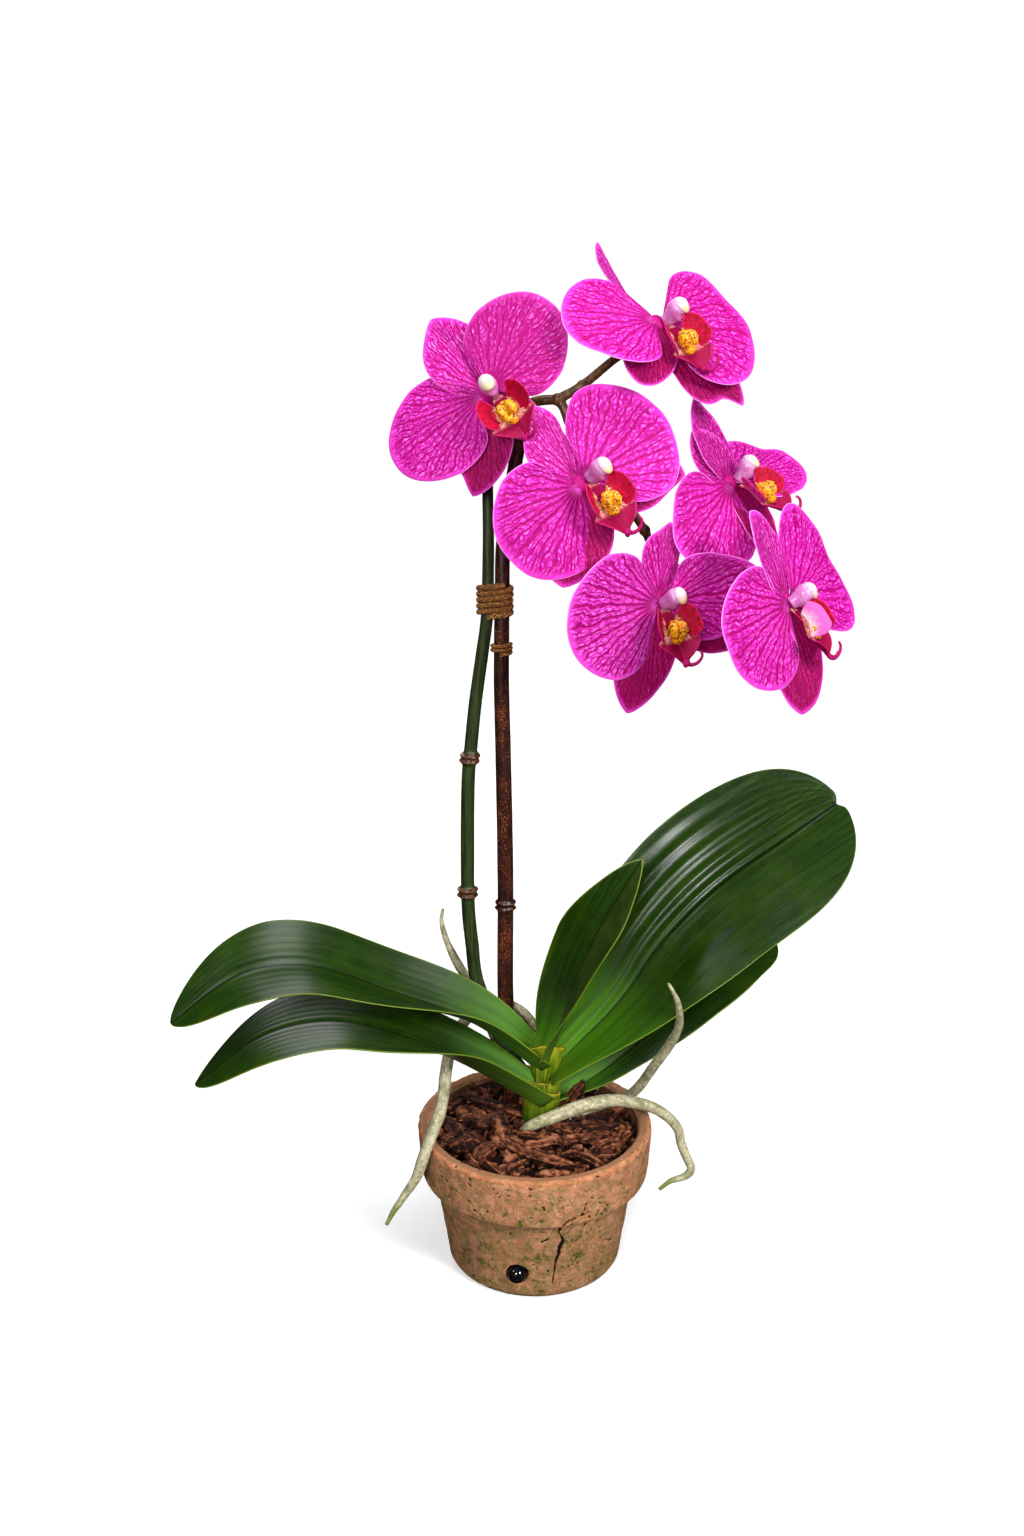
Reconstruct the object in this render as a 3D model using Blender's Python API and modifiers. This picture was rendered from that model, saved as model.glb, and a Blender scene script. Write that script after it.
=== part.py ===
"""Moth orchid in a clay pot.

A pink moth orchid with six open blooms on one arching flower spike, tied with twine to a cane, growing
out of fir bark in a weathered clay pot. Sizes are written in millimetres and turned into metres by mm().
The origin is the centre of the pot's flat underside, +Z is up and the blooms face -Y.
"""
import math
import random

import bmesh
import bpy
import numpy as np
from mathutils import Matrix, Vector

GAP = 0.3               # clearance between touching pieces
RANDOM_SEED = 11

# Pot
RIM_RADIUS = 60.0
POT_HEIGHT = 74.8
POT_WALL = 6.0
COLLAR_BOTTOM_Z = 48.5
BODY_TOP_RADIUS = 51.5
BASE_RADIUS = 44.9
FLOOR = 6.0
POT_STEPS = 32
DRAIN_X = -9.0
DRAIN_Z = 14.4
DRAIN_RADIUS = 5.0
DRAIN_SINK_RADIUS = 6.0
DRAIN_SINK_DEPTH = 1.8
BEAD_RADIUS = DRAIN_RADIUS - GAP

# Bark
BARK_EDGE_Z = 65.5
BARK_DOME_Z = 73.5
CHIP_COUNT = 28
CHIP_SPREAD = 45.0

# Plant
CROWN_BASE = (1.5, 5.0)
LEAF_THICKNESS = 1.8
TEPAL_THICKNESS = 0.8
LIP_THICKNESS = 0.9
STAKE_RADII = (3.7, 3.65, 3.3, 2.75, 2.4)       # from the foot to the top
SPIKE_RADII = (3.1, 3.1, 3.1, 2.9, 2.6, 2.2)    # from the crown to the fork
TIE_STEM_RADII = (2.95, 2.75)                   # the spike's and the cane's where the twine goes round
RING_STEM_RADIUS = 2.85
TWINE_RADIUS = 1.0
TWINE_PITCH = 2.9
TIE_TURNS = 4.5
RING_TWINE_RADIUS = 0.8
RING_PITCH = 1.9
RING_TURNS = 2.3


def mm(*xyz):
    return Vector(xyz) * 0.001


for old in list(bpy.data.objects):
    bpy.data.objects.remove(old, do_unlink=True)

scene = bpy.context.scene
orchid = bpy.data.collections.new("moth_orchid")
cutters = bpy.data.collections.new("cutters")
scene.collection.children.link(orchid)
scene.collection.children.link(cutters)


def material(name, colour, roughness, metallic=0.0):
    made = bpy.data.materials.new(name)
    made.use_nodes = True
    shader = made.node_tree.nodes["Principled BSDF"]
    shader.inputs["Base Color"].default_value = (*colour, 1.0)
    shader.inputs["Roughness"].default_value = roughness
    shader.inputs["Metallic"].default_value = metallic
    return made


CLAY = material("weathered_clay", (0.46, 0.22, 0.14), 0.9)
BEAD_BLACK = material("black_bead", (0.01, 0.01, 0.012), 0.12)
BARK = material("fir_bark", (0.19, 0.07, 0.045), 0.85)
LEAF = material("leaf_green", (0.02, 0.085, 0.018), 0.3)
SHEATH = material("sheath_green", (0.13, 0.24, 0.03), 0.4)
ROOT = material("root_silver", (0.36, 0.37, 0.26), 0.75)
SPIKE = material("spike_green", (0.03, 0.07, 0.025), 0.4)
CANE = material("dark_cane", (0.06, 0.02, 0.018), 0.4)
TWINE = material("brown_twine", (0.27, 0.12, 0.04), 0.9)
PETAL = material("petal_pink", (0.62, 0.03, 0.42), 0.5)
LIP = material("lip_crimson", (0.36, 0.005, 0.06), 0.4)
COLUMN = material("column_white", (0.8, 0.62, 0.72), 0.4)
CALLUS = material("callus_yellow", (0.85, 0.42, 0.03), 0.4)


def add_object(name, mesh, surface, collection=orchid, smooth_angle=40.0):
    made = bpy.data.objects.new(name, mesh)
    collection.objects.link(made)
    mesh.materials.clear()
    mesh.materials.append(surface)
    mesh.shade_smooth()
    mesh.set_sharp_from_angle(angle=math.radians(smooth_angle))
    return made


def mesh_from(bm, name):
    """A mesh from a closed bmesh, with its faces triangulated and turned out."""
    bmesh.ops.triangulate(bm, faces=bm.faces)
    bmesh.ops.recalc_face_normals(bm, faces=bm.faces)
    mesh = bpy.data.meshes.new(name)
    bm.to_mesh(mesh)
    bm.free()
    return mesh


def applied(made):
    """Replace an object's mesh with its evaluated one, welded where curve caps meet."""
    bpy.context.view_layer.update()
    evaluated = made.evaluated_get(bpy.context.evaluated_depsgraph_get())
    mesh = bpy.data.meshes.new_from_object(evaluated)
    mesh.transform(made.matrix_world)
    bm = bmesh.new()
    bm.from_mesh(mesh)
    bmesh.ops.remove_doubles(bm, verts=bm.verts, dist=0.000005)
    bmesh.ops.triangulate(bm, faces=bm.faces)
    bm.to_mesh(mesh)
    bm.free()
    return mesh


def largest_body(mesh):
    """Drop the loose scraps that a Boolean leaves and keep the largest body."""
    bm = bmesh.new()
    bm.from_mesh(mesh)
    unseen = set(bm.verts)
    bodies = []
    while unseen:
        front = [unseen.pop()]
        body = set(front)
        while front:
            for edge in front.pop().link_edges:
                for vert in edge.verts:
                    if vert in unseen:
                        unseen.remove(vert)
                        body.add(vert)
                        front.append(vert)
        bodies.append(body)
    bodies.sort(key=len)
    for body in bodies[:-1]:
        bmesh.ops.delete(bm, geom=list(body), context="VERTS")
    bm.to_mesh(mesh)
    bm.free()


def boolean(made, others, operation, solver="MANIFOLD"):
    """One applied Boolean of an object with a list of others, which are then removed."""
    group = bpy.data.collections.new("operands")
    scene.collection.children.link(group)
    for other in others:
        group.objects.link(other)
    cut = made.modifiers.new("join", "BOOLEAN")
    cut.operand_type = "COLLECTION"
    cut.collection = group
    cut.operation = operation
    cut.solver = solver
    surface = made.data.materials[0]
    mesh = applied(made)
    made.modifiers.clear()
    made.matrix_world = Matrix.Identity(4)
    made.data = mesh
    largest_body(mesh)
    mesh.materials.clear()
    mesh.materials.append(surface)
    for other in others:
        bpy.data.objects.remove(other, do_unlink=True)
    bpy.data.collections.remove(group)
    return made


def grown_copy(made, amount=GAP + 0.05):
    """A copy of a closed object, swollen along its normals, to cut a close-fitting hollow with."""
    bm = bmesh.new()
    bm.from_mesh(made.data)
    bmesh.ops.recalc_face_normals(bm, faces=bm.faces)
    bm.normal_update()
    for vert in bm.verts:
        vert.co += vert.normal * amount * 0.001
    mesh = bpy.data.meshes.new(made.name + "_cutter")
    bm.to_mesh(mesh)
    bm.free()
    copy = bpy.data.objects.new(made.name + "_cutter", mesh)
    cutters.objects.link(copy)
    copy.hide_render = True
    copy.display_type = "WIRE"
    return copy


def smooth_path(points, spacing):
    """Points about every spacing mm along a Catmull-Rom curve through the given mm points."""
    p = [Vector(q) for q in points]
    p = [p[0] * 2 - p[1]] + p + [p[-1] * 2 - p[-2]]
    path = []
    for a, b, c, d in zip(p, p[1:], p[2:], p[3:]):
        steps = max(1, round((c - b).length / spacing))
        for i in range(steps):
            t = i / steps
            path.append(0.5 * (2 * b + (c - a) * t + (2 * a - 5 * b + 4 * c - d) * t * t
                               + (3 * b - a - 3 * c + d) * t ** 3))
    path.append(p[-2])
    return path


def tube(name, path, radii, surface, sides=8):
    """A closed tube along a path of mm points; radii are spread evenly along it."""
    curve = bpy.data.curves.new(name, "CURVE")
    curve.dimensions = "3D"
    curve.bevel_depth = 0.001
    curve.bevel_resolution = (sides - 4) // 2
    curve.use_fill_caps = True
    curve.resolution_u = 1
    curve.render_resolution_u = 0
    spline = curve.splines.new("POLY")
    spline.points.add(len(path) - 1)
    stations = np.linspace(0, len(path) - 1, len(radii))
    for i, (point, place) in enumerate(zip(spline.points, path)):
        point.co = (*mm(*place), 1.0)
        point.radius = float(np.interp(i, stations, radii))
    drawn = bpy.data.objects.new(name, curve)
    scene.collection.objects.link(drawn)
    mesh = applied(drawn)
    bpy.data.objects.remove(drawn, do_unlink=True)
    return add_object(name, mesh, surface)


def turned(name, profile, steps, surface):
    """A solid turned round Z from mm points (radius, height), down the outer side."""
    bm = bmesh.new()
    verts = [bm.verts.new(mm(r, 0, z)) for r, z in profile]
    for a, b in zip(verts, verts[1:]):
        bm.edges.new((a, b))
    mesh = bpy.data.meshes.new(name)
    bm.to_mesh(mesh)
    bm.free()
    made = add_object(name, mesh, surface)
    screw = made.modifiers.new("turn", "SCREW")
    screw.steps = steps
    screw.render_steps = steps
    screw.use_merge_vertices = True
    screw.merge_threshold = 0.00002
    return made


def sheet(name, place, across, along, thickness, surface):
    """A solid blade: a grid whose point (a, b), both 0 to 1, is moved to place(a, b) and thickened."""
    bm = bmesh.new()
    bmesh.ops.create_grid(bm, x_segments=across, y_segments=along, size=0.5)
    for vert in bm.verts:
        vert.co = mm(*place(vert.co.x + 0.5, vert.co.y + 0.5))
    bmesh.ops.triangulate(bm, faces=bm.faces)
    mesh = bpy.data.meshes.new(name)
    bm.to_mesh(mesh)
    bm.free()
    made = add_object(name, mesh, surface)
    solid = made.modifiers.new("thickness", "SOLIDIFY")
    solid.thickness = thickness * 0.001
    solid.offset = 0.0
    made.data = applied(made)
    made.modifiers.clear()
    bm = bmesh.new()
    bm.from_mesh(made.data)
    bmesh.ops.recalc_face_normals(bm, faces=bm.faces)
    bm.to_mesh(made.data)
    bm.free()
    return made


def ellipsoid(name, centre, radii, surface, segments=10, rings=6):
    bm = bmesh.new()
    bmesh.ops.create_uvsphere(bm, u_segments=segments, v_segments=rings, radius=0.001)
    for vert in bm.verts:
        vert.co = Vector((vert.co.x * radii[0], vert.co.y * radii[1], vert.co.z * radii[2])) + mm(*centre)
    return add_object(name, mesh_from(bm, name), surface)


def placed(made, frame):
    """Move an object's mesh by a 4x4 frame in metres."""
    made.data.transform(frame)
    return made


# The clay pot: a turned bowl with a thick collar, with a stepped drain hole low in its front wall.
def make_pot():
    inner_rim = RIM_RADIUS - 6.5
    profile = [
        (0, FLOOR), (BASE_RADIUS - POT_WALL, FLOOR),
        (BODY_TOP_RADIUS - POT_WALL - 0.5, COLLAR_BOTTOM_Z - 4), (inner_rim - 0.6, COLLAR_BOTTOM_Z + 4),
        (inner_rim, POT_HEIGHT - 1.4), (inner_rim + 1.0, POT_HEIGHT),
        (RIM_RADIUS - 1.0, POT_HEIGHT), (RIM_RADIUS, POT_HEIGHT - 1.2),
        (RIM_RADIUS - 1.6, COLLAR_BOTTOM_Z + 2.2), (RIM_RADIUS - 2.8, COLLAR_BOTTOM_Z),
        (BODY_TOP_RADIUS, COLLAR_BOTTOM_Z - 1.4), (BASE_RADIUS, 4.0),
        (BASE_RADIUS - 0.9, 1.2), (BASE_RADIUS - 2.6, 0), (0, 0),
    ]
    pot = turned("pot", profile, POT_STEPS, CLAY)
    wall_y = -math.sqrt((BASE_RADIUS + 1.6) ** 2 - DRAIN_X ** 2)
    for label, radius, depth in (("bore", DRAIN_RADIUS, 3 * POT_WALL),
                                 ("sink", DRAIN_SINK_RADIUS, DRAIN_SINK_DEPTH)):
        length = depth + POT_WALL
        bpy.ops.mesh.primitive_cylinder_add(vertices=20, radius=radius * 0.001, depth=length * 0.001)
        cutter = bpy.context.active_object
        cutter.name = "drain_" + label
        cutter.rotation_euler = (math.radians(90), 0, 0)
        cutter.location = mm(DRAIN_X, wall_y + depth - length / 2, DRAIN_Z)
        for owner in list(cutter.users_collection):
            owner.objects.unlink(cutter)
        cutters.objects.link(cutter)
        cutter.hide_render = True
        cutter.display_type = "WIRE"
        drill = pot.modifiers.new(label, "BOOLEAN")
        drill.object = cutter
        drill.operation = "DIFFERENCE"
    bead_y = wall_y + BEAD_RADIUS - 1.6
    return ellipsoid("drain_bead", (DRAIN_X, bead_y, DRAIN_Z), (BEAD_RADIUS,) * 3, BEAD_BLACK, 12, 8)


def bark_height(radius):
    """Height of the bark surface above the underside, a low dome, at a radius from the pot's axis."""
    return BARK_EDGE_Z + (BARK_DOME_Z - BARK_EDGE_Z) * math.cos(min(radius / 50.0, 1.0) * math.pi / 2) ** 1.5


# The bark: a bed that fills the pot, with chips of fir bark lying and leaning on it.
def make_bark():
    inner_rim = RIM_RADIUS - 6.5 - GAP
    profile = [(r, bark_height(r)) for r in (0, 12, 24, 36, 46)]
    profile += [(inner_rim - 0.3, BARK_EDGE_Z), (inner_rim - 0.7, COLLAR_BOTTOM_Z + 4.2),
                (BODY_TOP_RADIUS - POT_WALL - 0.5 - GAP, COLLAR_BOTTOM_Z - 3.9),
                (BASE_RADIUS - POT_WALL - GAP - 0.2, FLOOR + GAP), (0, FLOOR + GAP)]
    bed = turned("bark", profile, 24, BARK)
    bed.data = applied(bed)
    bed.modifiers.clear()
    bed.data.materials.append(BARK)
    draw = random.Random(RANDOM_SEED)
    chips = []
    for i in range(CHIP_COUNT):
        radius = CHIP_SPREAD * math.sqrt((i + 0.5) / CHIP_COUNT)
        angle = i * 2.39996
        length = draw.uniform(8, 19)
        width = draw.uniform(3.0, 6.0)
        thick = draw.uniform(2.0, 3.6)
        tilt = draw.uniform(-24, 24)
        if radius + length / 2 > 51:
            length = 2 * (51 - radius)
        chips.append(bark_chip(
            f"chip_{i}", (radius * math.cos(angle), radius * math.sin(angle), bark_height(radius) + 0.5),
            (length, width, thick), (draw.uniform(-25, 25), tilt, draw.uniform(0, 360)), draw))
    chips.append(bark_chip("chip_leaning", (23.5, 1.0, 79.0), (25, 6, 3.4), (8, -78, 20), draw))
    return boolean(bed, chips, "UNION")


def bark_chip(name, centre, size, turn, draw):
    """A broken, tapered flake: a box with its corners pulled about."""
    bm = bmesh.new()
    bmesh.ops.create_cube(bm, size=1.0)
    for vert in bm.verts:
        taper = 0.72 if vert.co.x > 0 else 1.0
        vert.co = mm(vert.co.x * size[0] * draw.uniform(0.9, 1.1),
                     vert.co.y * size[1] * taper * draw.uniform(0.7, 1.15),
                     vert.co.z * size[2] * draw.uniform(0.8, 1.2) - abs(vert.co.y) * 0.8)
    turned_by = Matrix.Rotation(math.radians(turn[2]), 4, "Z") @ Matrix.Rotation(math.radians(turn[1]), 4, "Y")
    frame = Matrix.Translation(mm(*centre)) @ turned_by @ Matrix.Rotation(math.radians(turn[0]), 4, "X")
    return placed(add_object(name, mesh_from(bm, name), BARK), frame)


# The crown: the short stem inside its stacked leaf sheaths, leaning a little to the right as it rises.
def make_crown():
    sheaths = [(60, 88, 9.6, 8.4, 7.2), (84, 98, 9.0, 7.4, 6.6), (94, 112, 5.6, 8.2, 6.0)]
    bodies = []
    for i, (low, high, low_radius, high_radius, depth) in enumerate(sheaths):
        bm = bmesh.new()
        bmesh.ops.create_cone(bm, cap_ends=True, segments=12, radius1=low_radius * 0.001,
                              radius2=high_radius * 0.001, depth=(high - low) * 0.001)
        lean = 0.09
        for vert in bm.verts:
            z = vert.co.z * 1000 + (low + high) / 2
            vert.co.y *= depth / max(low_radius, high_radius)
            vert.co = vert.co + mm(CROWN_BASE[0] + (z - 66) * lean, CROWN_BASE[1], (low + high) / 2)
        bodies.append(add_object(f"sheath_{i}", mesh_from(bm, "sheath"), SHEATH))
    bodies[0].name = "crown"
    return boolean(bodies[0], bodies[1:], "UNION")


def along(points, t):
    """Point and direction at t, 0 to 1, of a smooth curve through evenly spaced mm points."""
    p = [Vector(q) for q in points]
    p = [p[0] * 2 - p[1]] + p + [p[-1] * 2 - p[-2]]
    at = min(t, 0.9999) * (len(points) - 1)
    i = int(at)
    f = at - i
    a, b, c, d = p[i:i + 4]
    place = 0.5 * (2 * b + (c - a) * f + (2 * a - 5 * b + 4 * c - d) * f * f + (3 * b - a - 3 * c + d) * f ** 3)
    way = 0.5 * ((c - a) + 2 * (2 * a - 5 * b + 4 * c - d) * f + 3 * (3 * b - a - 3 * c + d) * f * f)
    return place, way.normalized()


# Each leaf: its midrib's points from the crown to the tip, its width, where it is widest, how blunt its end
# is, the tilt of the blade about the midrib at base, a third, two thirds and tip, and the fold of its halves
# at base, middle and tip.
LEAVES = {
    "leaf_upper_left": dict(
        midrib=[(2, 4, 101), (-29, 1, 129), (-71, -10, 150), (-110, -19, 166), (-142, -26, 163), (-175, -33, 145)],
        width=52, widest=0.72, blunt=1.6, tilt=(10, 18, 22, 25), fold=(50, 20, 10)),
    "leaf_lower_left": dict(
        midrib=[(3, -1, 83), (-28, -9, 108), (-60, -22, 131), (-97, -27, 143), (-132, -33, 138), (-164, -38, 115)],
        width=52, widest=0.66, blunt=1.8, tilt=(5, 8, 10, 12), fold=(50, 20, 10)),
    "leaf_large_right": dict(
        midrib=[(7, 7, 98), (42, 12, 134), (63, 15, 165), (90, 18, 194), (123, 24, 217), (153, 31, 236)],
        width=84, widest=0.62, blunt=2.5, tilt=(-40, -55, -55, -55), fold=(40, 12, 6)),
    "leaf_lower_right": dict(
        midrib=[(6, 8, 79), (36, 21, 91), (66, 28, 116), (87, 33, 137), (107, 41, 150), (129, 50, 151)],
        width=44, widest=0.62, blunt=2.2, tilt=(-20, -35, -40, -40), fold=(45, 18, 8)),
    "leaf_young": dict(
        midrib=[(7, 2, 108), (13, -1, 130), (21, -4, 157), (31, -7, 183), (41, -8, 202), (51, -9, 220)],
        width=36, widest=0.55, blunt=1.7, tilt=(-40, -60, -60, -60), fold=(45, 25, 12)),
}


def leaf_half_width(t, width, widest, blunt):
    rise = 0.26 + 0.74 * math.sin(math.pi / 2 * min(t / widest, 1.0))
    end = max(0.0, (t - widest) / (1 - widest))
    return width / 2 * rise * max(0.0, 1 - end ** blunt) ** 0.5


def leaf_point(spec, t, v):
    """Point of a leaf at t along its midrib and v across it, -1 to 1."""
    place, way = along(spec["midrib"], t)
    level = way.cross(Vector((0, 0, 1))).normalized()
    upward = level.cross(way)
    tilt = math.radians(float(np.interp(t, (0, 0.33, 0.67, 1), spec["tilt"])))
    across = level * math.cos(tilt) + upward * math.sin(tilt)
    normal = upward * math.cos(tilt) - level * math.sin(tilt)
    fold = math.radians(float(np.interp(t, (0, 0.5, 1), spec["fold"])))
    half = leaf_half_width(t, spec["width"], spec["widest"], spec["blunt"])
    return place + half * (v * math.cos(fold) * across + abs(v) ** 1.4 * math.sin(fold) * normal)


def make_leaf(name, spec, crown):
    def place(a, b):
        t = 0.985 * (1 - (1 - b) ** 1.25)
        return leaf_point(spec, t, 2 * a - 1)
    leaf = sheet(name, place, 4, 12, LEAF_THICKNESS, LEAF)
    return boolean(leaf, [grown_copy(crown)], "DIFFERENCE")


# The air roots, from where each leaves the crown or the bark to its tip, with their radii along the way.
ROOTS = {
    "root_front": ([(-8, -6, 66), (-3, -8, 75), (9, -8, 80.5), (23, -6, 85.5), (37, -2, 86.5), (48, 0, 85),
                    (59, 3, 80.5), (68, 5, 74), (74.5, 5, 66), (76, 4, 59), (79, 2, 51.5), (81.5, 0, 46),
                    (78, -2, 42.5), (70.5, -3, 40.5), (64.5, -4, 36)], (2.0, 2.7, 2.7, 2.7, 2.5, 2.2, 0.9)),
    "root_rising": ([(12, 5, 66), (20, 8, 72), (32, 12, 75), (44, 16, 76.5), (51, 14, 82),
                     (56, 9, 91.5), (62, 5, 105), (69, 4, 118), (72.5, 4, 127), (72, 5, 133), (67, 5, 144)],
                    (2.4, 2.7, 2.6, 2.4, 1.9, 0.9)),
    "root_hanging": ([(4, 9, 90), (3.5, 18, 99), (2, 24, 110), (-4, 26.5, 120), (-12, 28, 125),
                      (-22, 28, 125.5), (-32, 25, 122), (-39, 17, 118), (-43, 7, 112), (-45, -5, 105), (-46, -13, 97),
                      (-48, -20, 89), (-51, -27, 82.5), (-55.5, -32.5, 72), (-59, -34, 62), (-65, -36, 53),
                      (-70, -38, 46), (-74, -40, 39)], (2.4, 2.6, 2.7, 2.7, 2.6, 2.2, 1.0)),
    "root_back": ([(-9, 29, 64), (-14, 32, 84), (-24, 35, 112), (-33, 33, 134), (-39, 31, 146), (-44, 30, 157),
                   (-47, 30, 166), (-48, 30, 173), (-47, 30, 179)], (2.4, 2.5, 2.3, 1.8, 0.8)),
}


def make_roots():
    made = []
    for name, (route, radii) in ROOTS.items():
        made.append(tube(name, smooth_path(route, 9.5), radii, ROOT))
    return made


# The cane that holds the spike up, with one knuckle, and the twine wound round it.
STAKE_ROUTE = [(-11, 20, 14), (-12, 20, 86), (-15, 20, 133), (-15, 20, 199), (-16, 20, 263), (-16.8, 20, 301),
               (-16.4, 20, 340), (-15.6, 20, 369), (-10.5, 20, 402), (-8, 20, 415), (-7, 20, 420)]
SPIKE_ROUTE = [(-3, 8, 93), (-11, 11, 104), (-18, 13.5, 115), (-24, 18, 128), (-30, 21, 144), (-32, 20.5, 162),
               (-34, 20, 190), (-33.5, 20, 245), (-32, 20, 266), (-29.5, 20, 290), (-26.4, 20, 312),
               (-23.9, 20, 330), (-23.2, 20, 345), (-22.8, 20, 369), (-23, 20, 390), (-22.5, 20, 403),
               (-19, 20, 416), (-11, 19, 427), (-1, 17, 432), (9, 16, 433)]
BRANCH_UP = [(9, 16, 433), (20, 17, 439), (34, 19.5, 450), (41, 22, 454), (45, 23, 455)]
BRANCH_DOWN = [(9, 16, 433), (12, 15, 429), (15, 14, 421), (21, 13, 411), (31, 12, 396), (42, 12, 385),
               (50, 14, 374), (55, 15, 364), (64, 16, 357), (80, 17, 354), (92, 16, 355), (99, 14, 356)]
STAKE_KNUCKLE_Z = 185.0
SPIKE_KNUCKLES_Z = (191.9, 262.2)
FORK_NODES = [((9, 16, 433), 3.1), ((20, 17, 439), 2.9), ((50, 14, 374), 2.9)]
TIE_Z = 340.4
TWINE_RING_Z = 317.0


def route_at_height(route, z):
    """Where a route that only rises crosses a height."""
    fine = smooth_path(route, 1.0)
    return min(fine, key=lambda point: abs(point.z - z))


def knuckle(name, centre, radius, height, surface):
    bm = bmesh.new()
    bmesh.ops.create_uvsphere(bm, u_segments=8, v_segments=4, radius=0.001)
    for vert in bm.verts:
        vert.co = Vector((vert.co.x * radius, vert.co.y * radius, vert.co.z * height / 2)) + mm(*centre)
    return add_object(name, mesh_from(bm, name), surface)


def make_stake():
    stake = tube("stake", smooth_path(STAKE_ROUTE, 40.0), STAKE_RADII, CANE)
    ring = knuckle("knuckle", route_at_height(STAKE_ROUTE, STAKE_KNUCKLE_Z), 5.4, 5.0, CANE)
    return boolean(stake, [ring], "UNION")


def make_spike(pedicels):
    spike = tube("flower_spike", smooth_path(SPIKE_ROUTE, 22.0), SPIKE_RADII, SPIKE)
    parts = [tube("branch_up", smooth_path(BRANCH_UP, 9.0), (2.2, 1.9), SPIKE, 6),
             tube("branch_down", smooth_path(BRANCH_DOWN, 9.0), (2.2, 2.0, 1.7), SPIKE, 6)]
    for i, (centre, radius) in enumerate(FORK_NODES):
        parts.append(knuckle(f"fork_{i}", centre, radius, 2 * radius, SPIKE))
    for i, height in enumerate(SPIKE_KNUCKLES_Z):
        parts.append(knuckle(f"bract_{i}", route_at_height(SPIKE_ROUTE, height), 4.9, 4.6, SPIKE))
    for i, route in enumerate(pedicels):
        parts.append(tube(f"pedicel_{i}", smooth_path(route, 9.0), (1.9, 1.5, 1.4, 1.5), SPIKE, 6))
    return boolean(spike, parts, "UNION")


def wound(centres, radii, twine, turns, pitch, bottom, slope):
    """A twine's path round two round stems: centres and radii are those of the left and right stem."""
    path = []
    steps = 12
    middle = (centres[0] + centres[1]) / 2
    for i in range(int(turns * steps) + 1):
        angle = math.radians(-100) + i * 2 * math.pi / steps
        side = 1 if math.cos(angle) > 0 else 0
        reach = radii[side] + GAP + twine + 0.2
        place = centres[side] + Vector((math.cos(angle), math.sin(angle), 0)) * reach
        place.z = bottom + i / steps * pitch + slope * (place.x - middle.x)
        path.append(place)
    return path


def make_twine():
    left = route_at_height(SPIKE_ROUTE, TIE_Z)
    right = route_at_height(STAKE_ROUTE, TIE_Z)
    path = wound((left, right), TIE_STEM_RADII, TWINE_RADIUS, TIE_TURNS, TWINE_PITCH,
                 TIE_Z - TIE_TURNS * TWINE_PITCH / 2, 0.08)
    tube("twine_tie", path, (TWINE_RADIUS,) * 2, TWINE, 6)
    ring = route_at_height(STAKE_ROUTE, TWINE_RING_Z)
    path = wound((ring, ring), (RING_STEM_RADIUS,) * 2, RING_TWINE_RADIUS, RING_TURNS, RING_PITCH,
                 TWINE_RING_Z - RING_TURNS * RING_PITCH / 2, 0.0)
    tube("twine_ring", path, (RING_TWINE_RADIUS,) * 2, TWINE, 6)


# Each bloom: where its centre is and which way it faces (turn to the right, lift, roll), how its lip and
# column stand off that (turn, nod, roll, shift right, shift up), and for each tepal its direction, lean,
# twist, length, width and, where it isn't almost flat, how far it curls forward.
BLOOMS = {
    "bloom_1": dict(centre=(-22.8, -4, 436.3), face=(-8, 7, 38), lip=(5, -11, 0, 2.4, -2.4), tepals=dict(
        dorsal=(91, -3, 3, 42, 28), right=(20, -1, -4, 47, 47), left=(178, -4, 7, 52, 44),
        lower_left=(223, -4, -2, 46, 30), lower_right=(302, -4, 50, 37, 22))),
    "bloom_2": dict(centre=(53.4, 12, 467), face=(30, 36, 6), lip=(0, 12, 10, 2.6, -1), tepals=dict(
        dorsal=(94, -30, 38, 54, 29, 0.36), right=(-15, -3, 0, 50, 60), left=(177, 3, 11, 48, 52),
        lower_left=(231, -1, 2, 38, 27), lower_right=(305, 1, 11, 54, 30))),
    "bloom_3": dict(centre=(18.5, -22, 399), face=(16, 14, 36), lip=(10, 5, -11, 3.6, -0.3), tepals=dict(
        dorsal=(83, -4, 0, 40, 25), right=(6, -1, -10, 50, 57), left=(188, 1, -12, 47, 55),
        lower_left=(222, -5, 5, 46, 36), lower_right=(327, 0, 0, 51, 30))),
    "bloom_4": dict(centre=(90, 20, 396), face=(41, 21, 15), lip=(7, -20, 2, 3.2, -1.6), tepals=dict(
        dorsal=(76, -18, 16, 43, 25, 0.07), upper=(95, -18, -3, 31, 32, 0.25), right=(-2, -1, -38, 52, 44),
        left=(213, -2, 3, 47, 51), lower_right=(285, 5, -7, 54, 25), lower_left=(245, -8, 0, 32, 25))),
    "bloom_5": dict(centre=(55.6, -12, 345), face=(23, -2, 8), lip=(8, -14, -2, 0, -1), tepals=dict(
        dorsal=(74, 1, 7, 36, 20), right=(-1, 9, 4, 45, 43), left=(183, 7, -7, 48, 61),
        lower_left=(247, 1, 6, 53, 30), lower_right=(318, -3, 2, 47, 24))),
    "bloom_6": dict(centre=(111, -28, 348), face=(44, 13, 28), lip=(24, 2, -18, -2.2, 0), tepals=dict(
        dorsal=(83, 2, 12, 44, 24), right=(-5, -2, -9, 53, 52, -0.15), left=(177, 1, -2, 47, 57),
        lower_left=(243, 1, 13, 51, 29), lower_right=(312, -6, 0, 40, 25))),
}
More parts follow.
